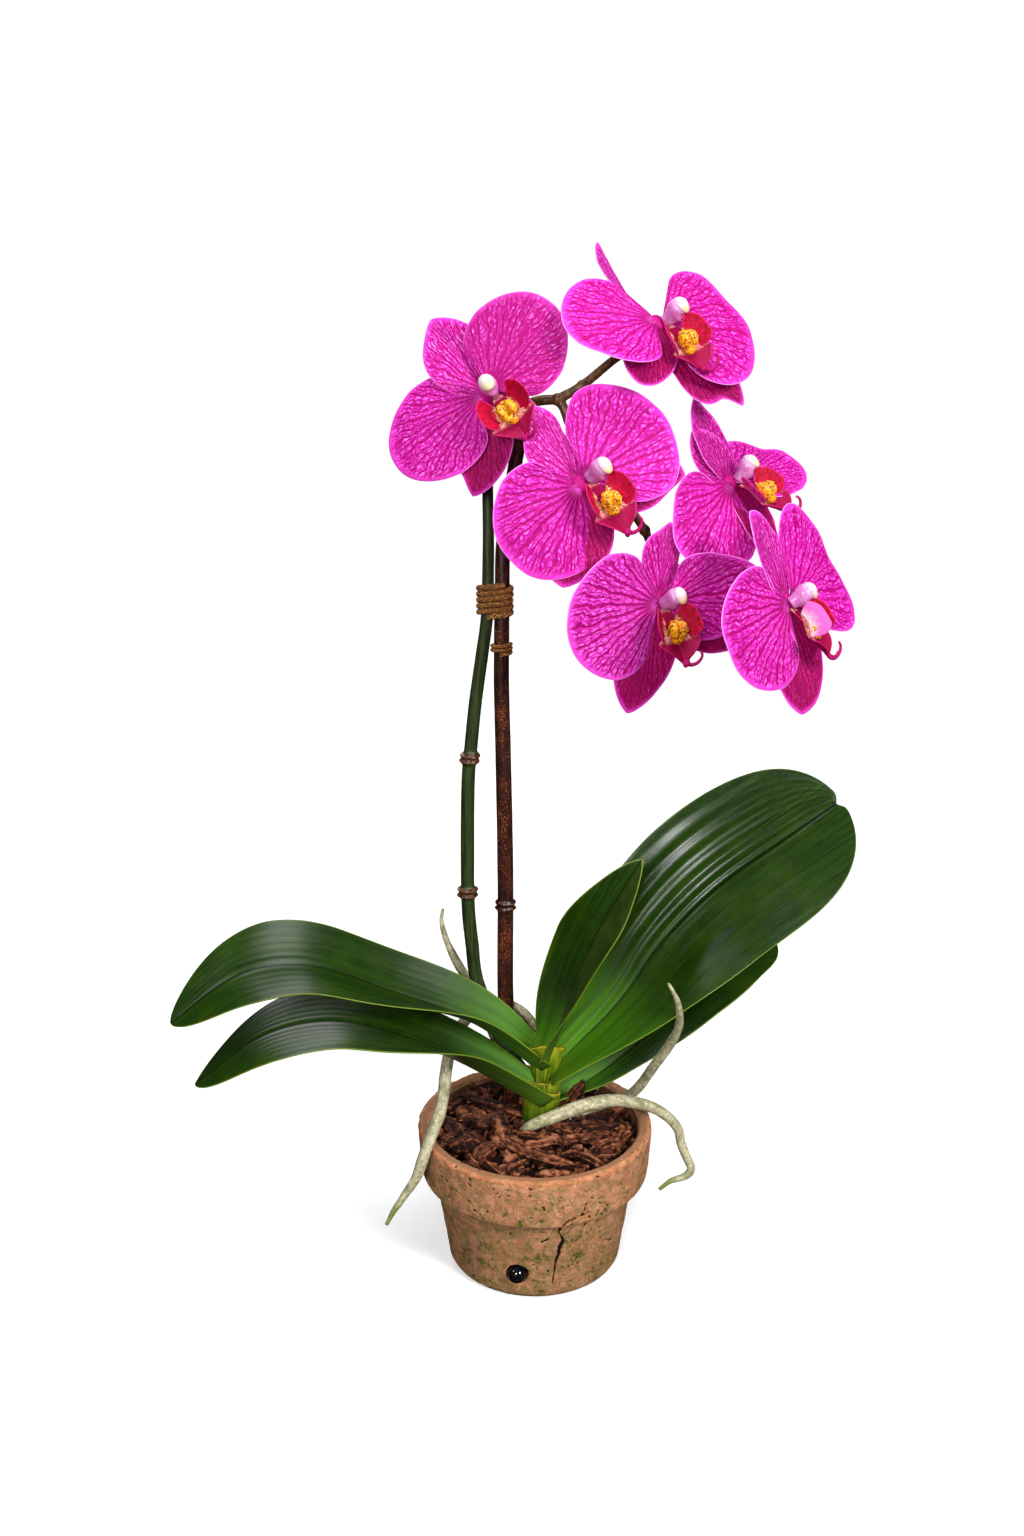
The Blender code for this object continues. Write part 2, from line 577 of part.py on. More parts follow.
# Where each bloom's stalk leaves the branches, how far behind the bloom it straightens, and how it bows.
PEDICEL_ROOTS = {"bloom_1": (-17, 20, 419), "bloom_2": (45, 23, 455), "bloom_3": (25, 12.5, 404),
                 "bloom_4": (55, 15, 364), "bloom_5": (64, 16, 357), "bloom_6": (99, 14, 356)}
PEDICEL_TURN = {"bloom_6": 8}
PEDICEL_BOW = {"bloom_2": (-1, 1.5, -1), "bloom_6": (6, -1, 1.5)}


def bloom_axes(turn, lift, roll):
    """Columns: right, up and forward of a bloom that faces -Y when all three angles are 0."""
    turn, lift, roll = (math.radians(angle) for angle in (turn, lift, roll))
    forward = Vector((math.sin(turn) * math.cos(lift), -math.cos(turn) * math.cos(lift), math.sin(lift)))
    level = Vector((0, 0, 1)).cross(forward).normalized()
    upright = forward.cross(level)
    right = level * math.cos(roll) + upright * math.sin(roll)
    up = upright * math.cos(roll) - level * math.sin(roll)
    return Matrix((right, up, forward)).transposed()


def tepal_outline(broad, t, length, width):
    """Outline point at t, -1 to 1, of a broad petal or a narrow sepal; t = 0 is its tip."""
    angle = math.pi * 0.86 * t
    if broad:
        c, s = math.cos(angle), math.sin(angle)
        power = 2 / 2.25
        u = length * (0.52 + 0.50 * math.copysign(abs(c) ** power, c))
        v = width / 2 * math.copysign(abs(s) ** power, s)
        return u, v * (1 - 0.18 * max(0.0, (u / length - 0.55) / 0.45))
    k = (1 + math.cos(angle)) / 2
    full = 0.4545 ** 0.60 * 0.5455 ** 0.72
    return length * k, math.copysign(width / 2 * k ** 0.60 * (1 - k) ** 0.72 / full, angle)


def tepal_frame(direction, lean, twist):
    """Turns a tepal's own axes (length, width, face) into its bloom's."""
    return (Matrix.Rotation(math.radians(direction), 3, "Z") @ Matrix.Rotation(-math.radians(lean), 3, "Y")
            @ Matrix.Rotation(math.radians(twist), 3, "X"))


def tepal_point(kind, spec, a, b):
    """Point of a tepal in its bloom's axes: a runs round the outline and b from the claw outward."""
    direction, lean, twist, length, width = spec[:5]
    broad = kind in ("left", "right")
    u, v = tepal_outline(broad, 2 * a - 1, length, width)
    claw = 0.04 * length
    reach = 0.10 + 0.90 * b
    u = claw + (u - claw) * reach
    v = v * reach
    level, curl, cup = (0.6, -0.06, 0.03) if broad else (-1.2, -0.05, 0.06)
    if len(spec) > 5:
        curl = spec[5]
    w = level + curl * u * u / length + cup * (2 * v / width) ** 2 * width / 2
    return tepal_frame(direction, lean, twist) @ Vector((u, v, w))


def lip_pieces(name):
    """The lip in its bloom's axes: two cupped side lobes, an anchor-shaped middle lobe and two tendrils."""
    def side_lobe(side):
        def place(a, b):
            bow = math.sin(math.pi * b)
            high = 2 * a - 1
            x = side * (2.2 + 11.4 * b - 2.0 * bow * high ** 2)
            y = -9.5 - 1.5 * b + high * (2.4 + 6.2 * bow + 0.8 * b)
            return (x, y, 5.2 + 6.2 * b ** 1.3)
        return place

    def middle_lobe(a, b):
        v = 2 * a - 1
        hump = math.exp(-((b - 0.55) / 0.2) ** 2)
        half = 2.2 + 7.3 * hump - 1.6 * b
        return (v * half, -9.5 - 19.0 * b + 2.0 * hump * abs(v), 5.0 + 6.0 * b - b * b + 2.2 * hump * v * v)

    def claw(a, b):
        v = 2 * a - 1
        return (v * (2.2 + 2.4 * b), -2.4 - 8.2 * b, 0.9 + 4.5 * b + 0.8 * v * v)

    pieces = [sheet(name, claw, 2, 1, LIP_THICKNESS, LIP),
              sheet("side_right", side_lobe(1), 3, 4, LIP_THICKNESS, LIP),
              sheet("side_left", side_lobe(-1), 3, 4, LIP_THICKNESS, LIP),
              sheet("middle", middle_lobe, 2, 6, LIP_THICKNESS, LIP)]
    for side in (-1, 1):
        route = [(side * 0.3, -27.0, 9.8), (side * 1.8, -29.0, 11.4), (side * 4.6, -28.6, 13.6),
                 (side * 6.6, -26.0, 15.0), (side * 6.0, -23.4, 15.0)]
        pieces.append(tube("tendril", smooth_path(route, 4.4), (0.55, 0.45), LIP, 4))
    return pieces


def make_bloom(name, spec):
    """The perianth, lip, column and callus of one bloom, each a node of its own."""
    frame = Matrix.Translation(mm(*spec["centre"])) @ bloom_axes(*spec["face"]).to_4x4()
    tepals = []
    for kind, tepal in spec["tepals"].items():
        broad = kind in ("left", "right")

        def place(a, b, kind=kind, tepal=tepal):
            return tepal_point(kind, tepal, a, b)
        tepals.append(sheet(kind, place, 8 if broad else 6, 3 if broad else 2, TEPAL_THICKNESS, PETAL))
    perianth = ellipsoid(name + "_petals", (0, 0, -1.0), (4.4, 4.4, 2.4), PETAL, 8, 4)
    boolean(perianth, tepals, "UNION")
    placed(perianth, frame)

    yaw, nod, roll, right, up = spec["lip"]
    turn = frame @ Matrix.Translation(mm(right, up, 0))
    for angle, axis in ((yaw, "Y"), (nod, "X"), (roll, "Z")):
        turn = turn @ Matrix.Rotation(math.radians(angle), 4, axis)
    pieces = lip_pieces(name + "_lip")
    lip = placed(boolean(pieces[0], pieces[1:], "UNION"), turn)

    column = turned(name + "_column", [(0, 10.8), (2.0, 10.2), (3.2, 8.4), (3.4, 6.4), (2.8, 4.0), (2.4, 1.0),
                                       (1.8, 0.0), (0, 0.0)], 8, COLUMN)
    column.data = applied(column)
    column.modifiers.clear()
    column.data.materials.append(COLUMN)
    rise = Matrix.Translation(mm(0, 0.2, 2.1)) @ Matrix.Rotation(math.radians(-14), 4, "X")
    placed(column, turn @ rise)

    callus = ellipsoid(name + "_callus", (0, -13.0, 9.2), (3.3, 4.2, 2.1), CALLUS, 8, 4)
    placed(callus, turn)
    boolean(callus, [grown_copy(lip)], "DIFFERENCE")
    for piece in (lip, column, callus):
        boolean(piece, [grown_copy(perianth)], "DIFFERENCE")
    return frame


def pedicel_route(name, spec, frame):
    """From the rachis to just behind a bloom's centre, arriving square to its back."""
    root = Vector(PEDICEL_ROOTS[name])
    back = frame.to_3x3() @ Vector((0, 0, -1))
    centre = Vector(spec["centre"])
    seat = centre + back * (3.4 + GAP)
    near = centre + back * PEDICEL_TURN.get(name, 13)
    middle = (root + near) / 2 + Vector(PEDICEL_BOW.get(name, (0, 2, 1.5)))
    return [root, middle, near, seat]


bead = make_pot()
bark = make_bark()
crown = make_crown()
leaves = [make_leaf(name, spec, crown) for name, spec in LEAVES.items()]
roots = make_roots()
stake = make_stake()
frames = {name: make_bloom(name, spec) for name, spec in BLOOMS.items()}
spike = make_spike([pedicel_route(name, BLOOMS[name], frames[name]) for name in BLOOMS])
make_twine()

# What stands in the bark or springs from the crown gets a close-fitting hollow there.
boolean(bark, [grown_copy(piece) for piece in (crown, stake, bead, *roots)], "DIFFERENCE")
for piece in (spike, *roots):
    boolean(piece, [grown_copy(crown)], "DIFFERENCE")
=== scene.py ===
"""How the potted moth orchid looks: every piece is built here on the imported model, in its frame.

Sizes are in millimetres, but for the studio's, and are turned into metres where a mesh is made. The origin
is the centre of the pot's flat underside, +Z is up and the blooms face -Y.
"""
import math
import random

import bmesh
import bpy
import numpy as np
from mathutils import Matrix, Vector, noise


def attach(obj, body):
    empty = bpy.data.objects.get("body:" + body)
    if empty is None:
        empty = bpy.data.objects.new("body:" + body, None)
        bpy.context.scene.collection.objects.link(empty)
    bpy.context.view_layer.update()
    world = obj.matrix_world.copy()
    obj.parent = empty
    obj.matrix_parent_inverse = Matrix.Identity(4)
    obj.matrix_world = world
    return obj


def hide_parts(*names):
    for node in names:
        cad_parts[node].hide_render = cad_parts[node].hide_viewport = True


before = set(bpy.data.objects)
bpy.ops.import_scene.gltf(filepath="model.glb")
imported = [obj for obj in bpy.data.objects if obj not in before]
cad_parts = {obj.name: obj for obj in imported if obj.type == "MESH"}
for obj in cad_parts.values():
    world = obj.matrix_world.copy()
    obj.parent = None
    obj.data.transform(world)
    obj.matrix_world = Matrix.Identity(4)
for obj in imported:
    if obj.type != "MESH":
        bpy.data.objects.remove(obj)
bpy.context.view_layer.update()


# The studio: the camera stands 0.66 m in front of the pot, at the height of the blooms, and looks down 16
# degrees. The floor is a pale sheet that curves up all round and glows more the further out it is. Six soft
# boxes light the plant, and the room is a little brighter above than below.
def in_scene(name, data):
    """A new object, shown in the scene."""
    made = bpy.data.objects.new(name, data)
    bpy.context.scene.collection.objects.link(made)
    return made


def set_inputs(node, values):
    """Gives some of a node's inputs their fixed values."""
    for name, value in values.items():
        node.inputs[name].default_value = value


bpy.context.scene.view_settings.view_transform = "Standard"
camera = in_scene("camera", bpy.data.cameras.new("camera"))
camera.location = (-0.0117, -0.661, 0.457)
camera.rotation_euler = (math.radians(73.64), 0, 0)
camera.data.sensor_fit = "VERTICAL"
camera.data.sensor_height = 36.0
camera.data.lens = 33.82
camera.data.clip_start = 0.01
bpy.context.scene.camera = camera

# How far out and how high the floor sheet is, in metres, from its middle to its outer edge, how many corners
# it has on the way round, and how far it lies below the pot.
SWEEP = [(0.2, 0.0), (0.8, 0.0), (1.6, 0.0), (2.1, 0.06), (2.6, 0.3), (3.0, 0.8), (3.2, 1.6), (3.25, 2.6)]
SPOKES = 64
FLOOR_DROP = 0.0003
bm = bmesh.new()
loops = []
for radius, height in SWEEP:
    loops.append([bm.verts.new((radius * math.cos(2 * math.pi * i / SPOKES),
                                radius * math.sin(2 * math.pi * i / SPOKES), height - FLOOR_DROP))
                  for i in range(SPOKES)])
bm.faces.new(loops[0])
for low, high in zip(loops, loops[1:]):
    for i in range(SPOKES):
        after = (i + 1) % SPOKES
        bm.faces.new((low[after], low[i], high[i], high[after]))
floor_mesh = bpy.data.meshes.new("studio_floor")
bm.to_mesh(floor_mesh)
bm.free()
floor_mesh.shade_smooth()
floor_paint = bpy.data.materials.new("pale_floor")
floor_paint.use_nodes = True
tree = floor_paint.node_tree
shader = tree.nodes["Principled BSDF"]
set_inputs(shader, {"Base Color": (0.9, 0.9, 0.9, 1.0), "Roughness": 0.9, "Specular IOR Level": 0.0,
                    "Emission Strength": 1.0})
where = tree.nodes.new("ShaderNodeTexCoord")
distance = tree.nodes.new("ShaderNodeVectorMath")
distance.operation = "LENGTH"
glow = tree.nodes.new("ShaderNodeMapRange")
set_inputs(glow, {"From Min": 0.3, "From Max": 2.2, "To Min": 0.3, "To Max": 0.95})
tree.links.new(where.outputs["Object"], distance.inputs[0])
tree.links.new(distance.outputs["Value"], glow.inputs["Value"])
tree.links.new(glow.outputs[0], shader.inputs["Emission Color"])
floor_mesh.materials.append(floor_paint)
floor = in_scene("studio_floor", floor_mesh)
floor.visible_diffuse = False
floor.visible_glossy = False
floor.visible_shadow = False

# Each soft box: its place and its size in metres and its power in watts. All of them face the same point.
AIM = Vector((0, 0, 0.25))
for label, place, size, power in (("key_box", (0.9, -1.0, 0.95), 0.45, 23.0),
                                  ("gloss_box", (-0.20, -1.0, 0.62), 0.26, 7.5),
                                  ("front_box", (-0.75, -1.3, 0.45), 0.7, 0.6),
                                  ("top_box", (0.0, -0.2, 1.45), 0.6, 10.5),
                                  ("left_box", (-0.95, -0.4, 1.05), 0.3, 2.4),
                                  ("back_box", (-0.5, 1.25, 0.95), 0.9, 8.0)):
    lamp = bpy.data.lights.new(label, "AREA")
    lamp.size = size
    lamp.energy = power
    made = in_scene(label, lamp)
    made.location = place
    made.rotation_euler = (AIM - Vector(place)).to_track_quat("-Z", "Y").to_euler()
    made.visible_camera = False

world = bpy.data.worlds.new("white_room")
world.use_nodes = True
sky = world.node_tree
towards = sky.nodes.new("ShaderNodeTexCoord")
split = sky.nodes.new("ShaderNodeSeparateXYZ")
brightness = sky.nodes.new("ShaderNodeMapRange")
set_inputs(brightness, {"From Min": -1.0, "To Min": 0.20, "To Max": 0.34})
sky.links.new(towards.outputs["Generated"], split.inputs[0])
sky.links.new(split.outputs["Z"], brightness.inputs["Value"])
sky.links.new(brightness.outputs[0], sky.nodes["Background"].inputs["Strength"])
bpy.context.scene.world = world


# The pot: a turned clay pot with a thick collar, weathered, stained green by algae, chipped at the rim and
# cracked down its front. A drain hole is drilled low in the front wall and a groove runs above it. Shade is
# painted on the inside of the wall and under the collar, and a painted highlight rings the drain hole.

# A millimetre, in metres.
MM = 0.001


class Wire:
    """A number, colour or vector in a finish, so that maths on it reads as plain Python."""

    def __init__(self, finish, socket):
        self.finish = finish
        self.socket = socket

    def maths(self, operation, *others, clamp=False):
        values = {i: value for i, value in enumerate((self, *others))}
        return self.finish.node("ShaderNodeMath", dict(operation=operation, use_clamp=clamp), values)

    def __add__(self, other):
        return self.maths("ADD", other)

    def __radd__(self, other):
        return self.maths("ADD", other)

    def __sub__(self, other):
        return self.maths("SUBTRACT", other)

    def __rsub__(self, other):
        return self.finish.node("ShaderNodeMath", dict(operation="SUBTRACT"), {0: other, 1: self})

    def __mul__(self, other):
        return self.maths("MULTIPLY", other)

    def __rmul__(self, other):
        return self.maths("MULTIPLY", other)

    def clamped(self):
        return self.maths("ADD", 0.0, clamp=True)

    def between(self, low, high):
        """0 below low and 1 above high, with a smooth rise; low may be the larger of the two."""
        if low > high:
            return 1 - self.between(high, low)
        return self.finish.node("ShaderNodeMapRange", dict(interpolation_type="SMOOTHSTEP"),
                                {"Value": self, "From Min": low, "From Max": high})


class Finish:
    """A material whose varying colour, roughness and relief are written as expressions."""

    def __init__(self, name, specular=0.5):
        self.material = bpy.data.materials.new(name)
        self.material.use_nodes = True
        self.tree = self.material.node_tree
        self.shader = self.tree.nodes["Principled BSDF"]
        self.shader.inputs["Specular IOR Level"].default_value = specular

    def node(self, kind, settings=None, values=None, out=0):
        made = self.tree.nodes.new(kind)
        for name, value in (settings or {}).items():
            setattr(made, name, value)
        for name, value in (values or {}).items():
            if isinstance(value, Wire):
                self.tree.links.new(value.socket, made.inputs[name])
            else:
                made.inputs[name].default_value = value
        return Wire(self, made.outputs[out])

    def place(self):
        """Where a point is, in metres, in the model's own frame."""
        return self.node("ShaderNodeTexCoord", out="Object")

    def mm(self, axis):
        """Where a point is along one axis of the model's own frame, in mm."""
        return self.node("ShaderNodeSeparateXYZ", None, {"Vector": self.place()}, out=axis) * 1000

    def mark(self, name):
        """A number that was kept with the mesh, such as how far along a leaf each point is."""
        return self.node("ShaderNodeAttribute", dict(attribute_name=name), out="Fac")

    def vector(self, x, y, z=0.0):
        return self.node("ShaderNodeCombineXYZ", None, {"X": x, "Y": y, "Z": z})

    def grain(self, size, at=None, detail=3.0, rough=0.55, warp=0.0):
        """Cloudy noise, 0 to 1, whose clouds are about size mm across, or size units of at."""
        scale = 1.0 / size if at else 1000.0 / size
        return self.node("ShaderNodeTexNoise", None, {
            "Vector": at or self.place(), "Scale": scale, "Detail": detail, "Roughness": rough,
            "Distortion": warp})

    def cells(self, size, at=None, feature="DISTANCE_TO_EDGE"):
        """Cells about size mm across: the distance to their edges, or to their middles with F1."""
        scale = 1.0 / size if at else 1000.0 / size
        return self.node("ShaderNodeTexVoronoi", dict(feature=feature), {
            "Vector": at or self.place(), "Scale": scale})

    def mix(self, amount, first, second):
        """A colour that goes from first to second as amount goes from 0 to 1."""
        def colour(value):
            return value if isinstance(value, Wire) else (*value, 1.0)
        return self.node("ShaderNodeMix", dict(data_type="RGBA"), {
            0: amount, 6: colour(first), 7: colour(second)}, out=2)

    def coats(self, colour, *coats):
        """A colour with coats over it: each is how much of the coat shows, 0 to 1, and its colour."""
        for amount, over in coats:
            colour = self.mix(amount, colour, over)
        return colour

    def paint(self, colour, roughness, relief=None, depth=0.0, glow=0.0):
        """Finishes the material: relief, 0 to 1, stands up to depth mm out, and glow is its own light."""
        links = [(colour, "Base Color"), (roughness, "Roughness")]
        if relief is not None:
            bump = self.node("ShaderNodeBump", None, {"Height": relief, "Distance": depth * MM})
            links.append((bump, "Normal"))
        if glow:
            links.append((colour, "Emission Color"))
            self.shader.inputs["Emission Strength"].default_value = glow
        for wire, name in links:
            self.tree.links.new(wire.socket, self.shader.inputs[name])
        return self.material


def lumps(points, size, seed=0):
    """Soft random lumps, -1 to 1, about size mm across, at each mm point."""
    shift = Vector((seed * 7.31, seed * 3.17, 0))
    return np.array([noise.noise(Vector(p) / size + shift) for p in points])


def grid_faces(rows, columns, start=0, closed=False):
    """Faces of a grid of points kept row by row; closed joins the last column to the first."""
    faces = []
    for row in range(rows - 1):
        for column in range(columns if closed else columns - 1):
            after = (column + 1) % columns
            a = start + row * columns
            faces.append((a + column, a + after, a + columns + after, a + columns + column))
    return faces


def turned(start, *turns):
    """A matrix followed by turns, each of them degrees and an axis."""
    for degrees, axis in turns:
        start = start @ Matrix.Rotation(math.radians(degrees), 4, axis)
    return start


def mesh_of(name, points, faces):
    mesh = bpy.data.meshes.new(name)
    mesh.from_pydata((np.asarray(points, float) * MM).tolist(), [], faces)
    return mesh


def carried_out(made):
    """The mesh of an object once its modifiers have been carried out."""
    bpy.context.view_layer.update()
    return bpy.data.meshes.new_from_object(made.evaluated_get(bpy.context.evaluated_depsgraph_get()))


def add_piece(name, points, faces, surface, stands_for, marks=None):
    """A piece from mm points that rides on the plant's one body and stands for some of the model's nodes."""
    mesh = mesh_of(name, points, faces)
    for mark, values in (marks or {}).items():
        kept = mesh.attributes.new(mark, "FLOAT", "POINT")
        kept.data.foreach_set("value", np.asarray(values, np.float32).ravel())
    bm = bmesh.new()
    bm.from_mesh(mesh)
    bmesh.ops.recalc_face_normals(bm, faces=bm.faces)
    bm.to_mesh(mesh)
    bm.free()
    mesh.shade_smooth()
    mesh.materials.append(surface)
    made = in_scene(name, mesh)
    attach(made, "root")
    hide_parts(*stands_for)
    return made


# The wall's section, (radius, height) from the inside of the floor over the rim to the underside.
POT_PROFILE = [(0, 6), (38.9, 6), (45, 44.5), (52.9, 52.5), (53.4, 72.6), (53.8, 74.0), (54.7, 74.8),
               (58.8, 74.8), (59.7, 74.3), (60.1, 73.3), (59.4, 62), (58.5, 51.4), (58.3, 49.7), (57.6, 48.7),
               (56.6, 48.3), (52.6, 48.1), (51.9, 47.7), (51.6, 46.6), (48.3, 26), (45.0, 4.6), (44.6, 2.4),
               (43.6, 0.7), (42.3, 0), (0, 0)]
# How finely the wall is made: mm along its section, and degrees round it at the front and elsewhere.
WALL_STEP, FINE_TURN, COARSE_TURN = 0.62, 0.42, 1.25
# The crack, as (right, height) points on the pot's front, and how wide it is at some heights.
CRACK = [(24.4, 60.1), (23.4, 56.5), (22.0, 53.8), (17.5, 52.6), (14.4, 51.0), (12.5, 48.4), (12.2, 44.5),
         (11.2, 41.0), (13.8, 35.4), (11.8, 31.5), (11.4, 27.0), (9.9, 22.5), (9.6, 18.9), (8.4, 8.5)]
CRACK_WIDTH_AT_Z = [(8.5, 0.3), (20, 0.5), (31, 1.25), (35.5, 1.0), (38.5, 0.3), (41, 0.35), (44, 1.4),
                    (47.8, 1.2), (48.4, 0.62), (60, 0.5)]
SIDE_CRACKS = [[(22.0, 53.8), (26.2, 54.6)], [(25.6, 45.0), (24.6, 42.3), (23.2, 40.6)],
               [(6.5, 38.0), (3.0, 36.0)]]
GROOVE = [(-8.9, 20.6), (-8.9, 24.2)]
CRACK_DEPTH, GROOVE_WIDTH, GROOVE_DEPTH = 1.3, 0.5, 0.5
# The drain hole's middle on the front wall, how wide and deep the hole and its countersink are cut from
# there, and how long the drill is.
DRAIN_X, DRAIN_WALL_Y, DRAIN_Z = -9.0, -45.6, 14.4
DRAIN_RADIUS, DRAIN_DEPTH, DRAIN_SINK_RADIUS, DRAIN_SINK_DEPTH = 5.8, 18.0, 6.4, 1.2
DRILL_LENGTH = 30.0


def resampled(profile, step):
    """Points about every step mm along straight lines through the profile's points."""
    made = []
    for (r0, z0), (r1, z1) in zip(profile, profile[1:]):
        parts = max(1, round(math.hypot(r1 - r0, z1 - z0) / step))
        made += [(r0 + (r1 - r0) * i / parts, z0 + (z1 - z0) * i / parts) for i in range(parts)]
    return made + [profile[-1]]


def distance_to_line(x, z, route):
    """How far each point is from a broken line, both on the pot's unrolled front."""
    nearest = np.full(x.shape, 1e9)
    for (x0, z0), (x1, z1) in zip(route, route[1:]):
        length = math.hypot(x1 - x0, z1 - z0)
        share = np.clip(((x - x0) * (x1 - x0) + (z - z0) * (z1 - z0)) / length ** 2, 0, 1)
        nearest = np.minimum(nearest, np.hypot(x - x0 - share * (x1 - x0), z - z0 - share * (z1 - z0)))
    return nearest


def make_pot():
    inside = resampled(POT_PROFILE[:4], 8.0)
    wall = resampled(POT_PROFILE[3:20], WALL_STEP)
    foot = resampled(POT_PROFILE[19:], 2.5)
    profile = np.array(inside[1:-1] + wall + foot[1:-1])
    around = np.radians(np.concatenate((np.arange(-125, -55, FINE_TURN), np.arange(-55, 235, COARSE_TURN))))
    r, turn = np.meshgrid(profile[:, 0], around, indexing="ij")
    z = np.meshgrid(profile[:, 1], around, indexing="ij")[0]
    points = np.stack((r * np.cos(turn), r * np.sin(turn), z), 2).reshape(-1, 3)
    rows, columns = r.shape
    r, z = r.ravel(), z.ravel()
    inner = np.zeros((rows, columns))
    inner[:len(inside) - 1 + round((POT_PROFILE[4][1] - POT_PROFILE[3][1]) / WALL_STEP)] = 1
    outer = np.zeros((rows, columns))
    outer[len(inside) - 2:len(inside) - 2 + len(wall)] = 1
    inner, outer = inner.ravel(), outer.ravel()
    out = points / np.maximum(np.hypot(points[:, 0], points[:, 1]), 1)[:, None] * (1, 1, 0)
    corner = np.exp(-((r - 59.6) / 1.5) ** 2) * np.clip((z - 71.4) / 1.6, 0, 1) * outer
    rough = lumps(points, 9.0) * 0.26 + lumps(points, 3.0, 1) * 0.16 + lumps(points, 1.3, 2) * 0.09
    chipped = np.clip(lumps(points, 3.4, 3) + 0.1, 0, 1) * 1.4 + np.clip(lumps(points, 1.6, 4), 0, 1) * 0.9
    slanted = points @ np.array(((0.9, 0, 0.35), (0, 1, 0), (-0.5, 0, 1.0)))
    pit = np.clip(lumps(slanted, 1.7, 7) + 0.5 * lumps(points, 7.0, 8) - 0.44, 0, 0.3) / 0.3 * (1 - inner)
    push = (rough - 0.2 - 0.75 * corner * chipped - 0.55 * pit) * outer
    near = distance_to_line(points[:, 0], z, CRACK)
    for side_crack in SIDE_CRACKS:
        near = np.minimum(near, distance_to_line(points[:, 0], z, side_crack) + 0.05)
    facing = (points[:, 1] < -20) & (outer > 0) & (r > 44)
    width = np.interp(z, *zip(*CRACK_WIDTH_AT_Z)) * (0.9 + 0.5 * lumps(points, 2.0, 5))
    dashes = np.clip(0.7 + 1.9 * lumps(points, 1.5, 9), 0, 1)
    width = np.where(z > 48.2, width * dashes, width)
    crack = np.where(facing, np.clip(1.3 - near / np.maximum(width, 0.05), 0, 1), 0)
    groove = distance_to_line(points[:, 0], z, GROOVE)
    groove = np.where(facing, np.clip(1.3 - groove / GROOVE_WIDTH, 0, 1), 0)
    push -= CRACK_DEPTH * crack + GROOVE_DEPTH * groove
    points = points + out * push[:, None]
    points[:, 2] -= 0.6 * corner * np.clip(lumps(points, 2.6, 6) + 0.15, 0, 1) * (z > 74)
    points = np.vstack(((0, 0, 6), points, (0, 0, 0)))
    faces = grid_faces(rows, columns, 1, True)
    last = len(points) - 1
    for i in range(columns):
        faces.append((0, 1 + i, 1 + (i + 1) % columns))
        faces.append((last, last - columns + i, last - columns + (i + 1) % columns))
    marks = {name: np.concatenate(((0,), values, (0,))) for name, values in
             dict(crack=crack, corner=corner, groove=groove, pit=pit * outer, inner=inner).items()}
    return points, faces, marks


def drilled(made, x, wall_y, z, steps):
    """Drills a stepped hole along Y: steps are (radius, how deep it goes) pairs in mm."""
    for radius, depth in steps:
        bm = bmesh.new()
        bmesh.ops.create_cone(bm, cap_ends=True, segments=64, radius1=radius * MM, radius2=radius * MM,
                              depth=DRILL_LENGTH * MM)
        mesh = bpy.data.meshes.new("drill")
        bm.to_mesh(mesh)
        bm.free()
        drill = in_scene("drill", mesh)
        centre = Vector((x, wall_y + depth - DRILL_LENGTH / 2, z)) * MM
        drill.matrix_world = turned(Matrix.Translation(centre), (90, "X"))
        cut = made.modifiers.new("hole", "BOOLEAN")
        cut.object = drill
        cut.operation = "DIFFERENCE"
        cut.solver = "MANIFOLD"
        cut_mesh = carried_out(made)
        made.modifiers.clear()
        made.data = cut_mesh
        bpy.data.objects.remove(drill)


clay = Finish("weathered_clay", specular=0.15)
height = clay.mm("Z")
cloud = clay.grain(20.0, detail=4.0, rough=0.6)
patch = clay.grain(6.0, detail=6.0, rough=0.7, warp=0.8)
strokes = clay.grain(1.5, detail=5.0, rough=0.72, warp=2.2)
fine = clay.grain(0.8, detail=3.0, rough=0.7)
corner, crack = clay.mark("corner"), clay.mark("crack")
low_down = height.between(60.0, 40.0)
algae = clay.grain(7.0, detail=8.0, rough=0.76, warp=1.2)
olive = (algae + low_down * 0.045).between(0.475, 0.57) * (0.55 + 0.45 * strokes.between(0.35, 0.6))
tufts = clay.grain(2.6, detail=5.0, rough=0.7, warp=1.0)
moss = (algae * 0.6 + tufts * 0.4 + low_down * 0.03).between(0.565, 0.63)
on_top = height.between(73.6, 74.4) * (1 - corner.between(0.1, 0.6))
apart = clay.mm("X") - DRAIN_X
behind = clay.mm("Y").between(-20.0, 0.0) * 50
from_hole = (apart * apart + (height - DRAIN_Z) * (height - DRAIN_Z)).maths("SQRT") + behind
lip_line = height.between(46.8, 48.0) * height.between(49.8, 48.9)
shadow_line = height.between(44.6, 46.2) * height.between(48.2, 47.4)
specks = clay.cells(1.5, feature="F1").between(0.20, 0.11) * clay.grain(4.0, detail=1.0).between(0.47, 0.57)
pale = clay.cells(6.5, feature="F1").between(0.075, 0.045)
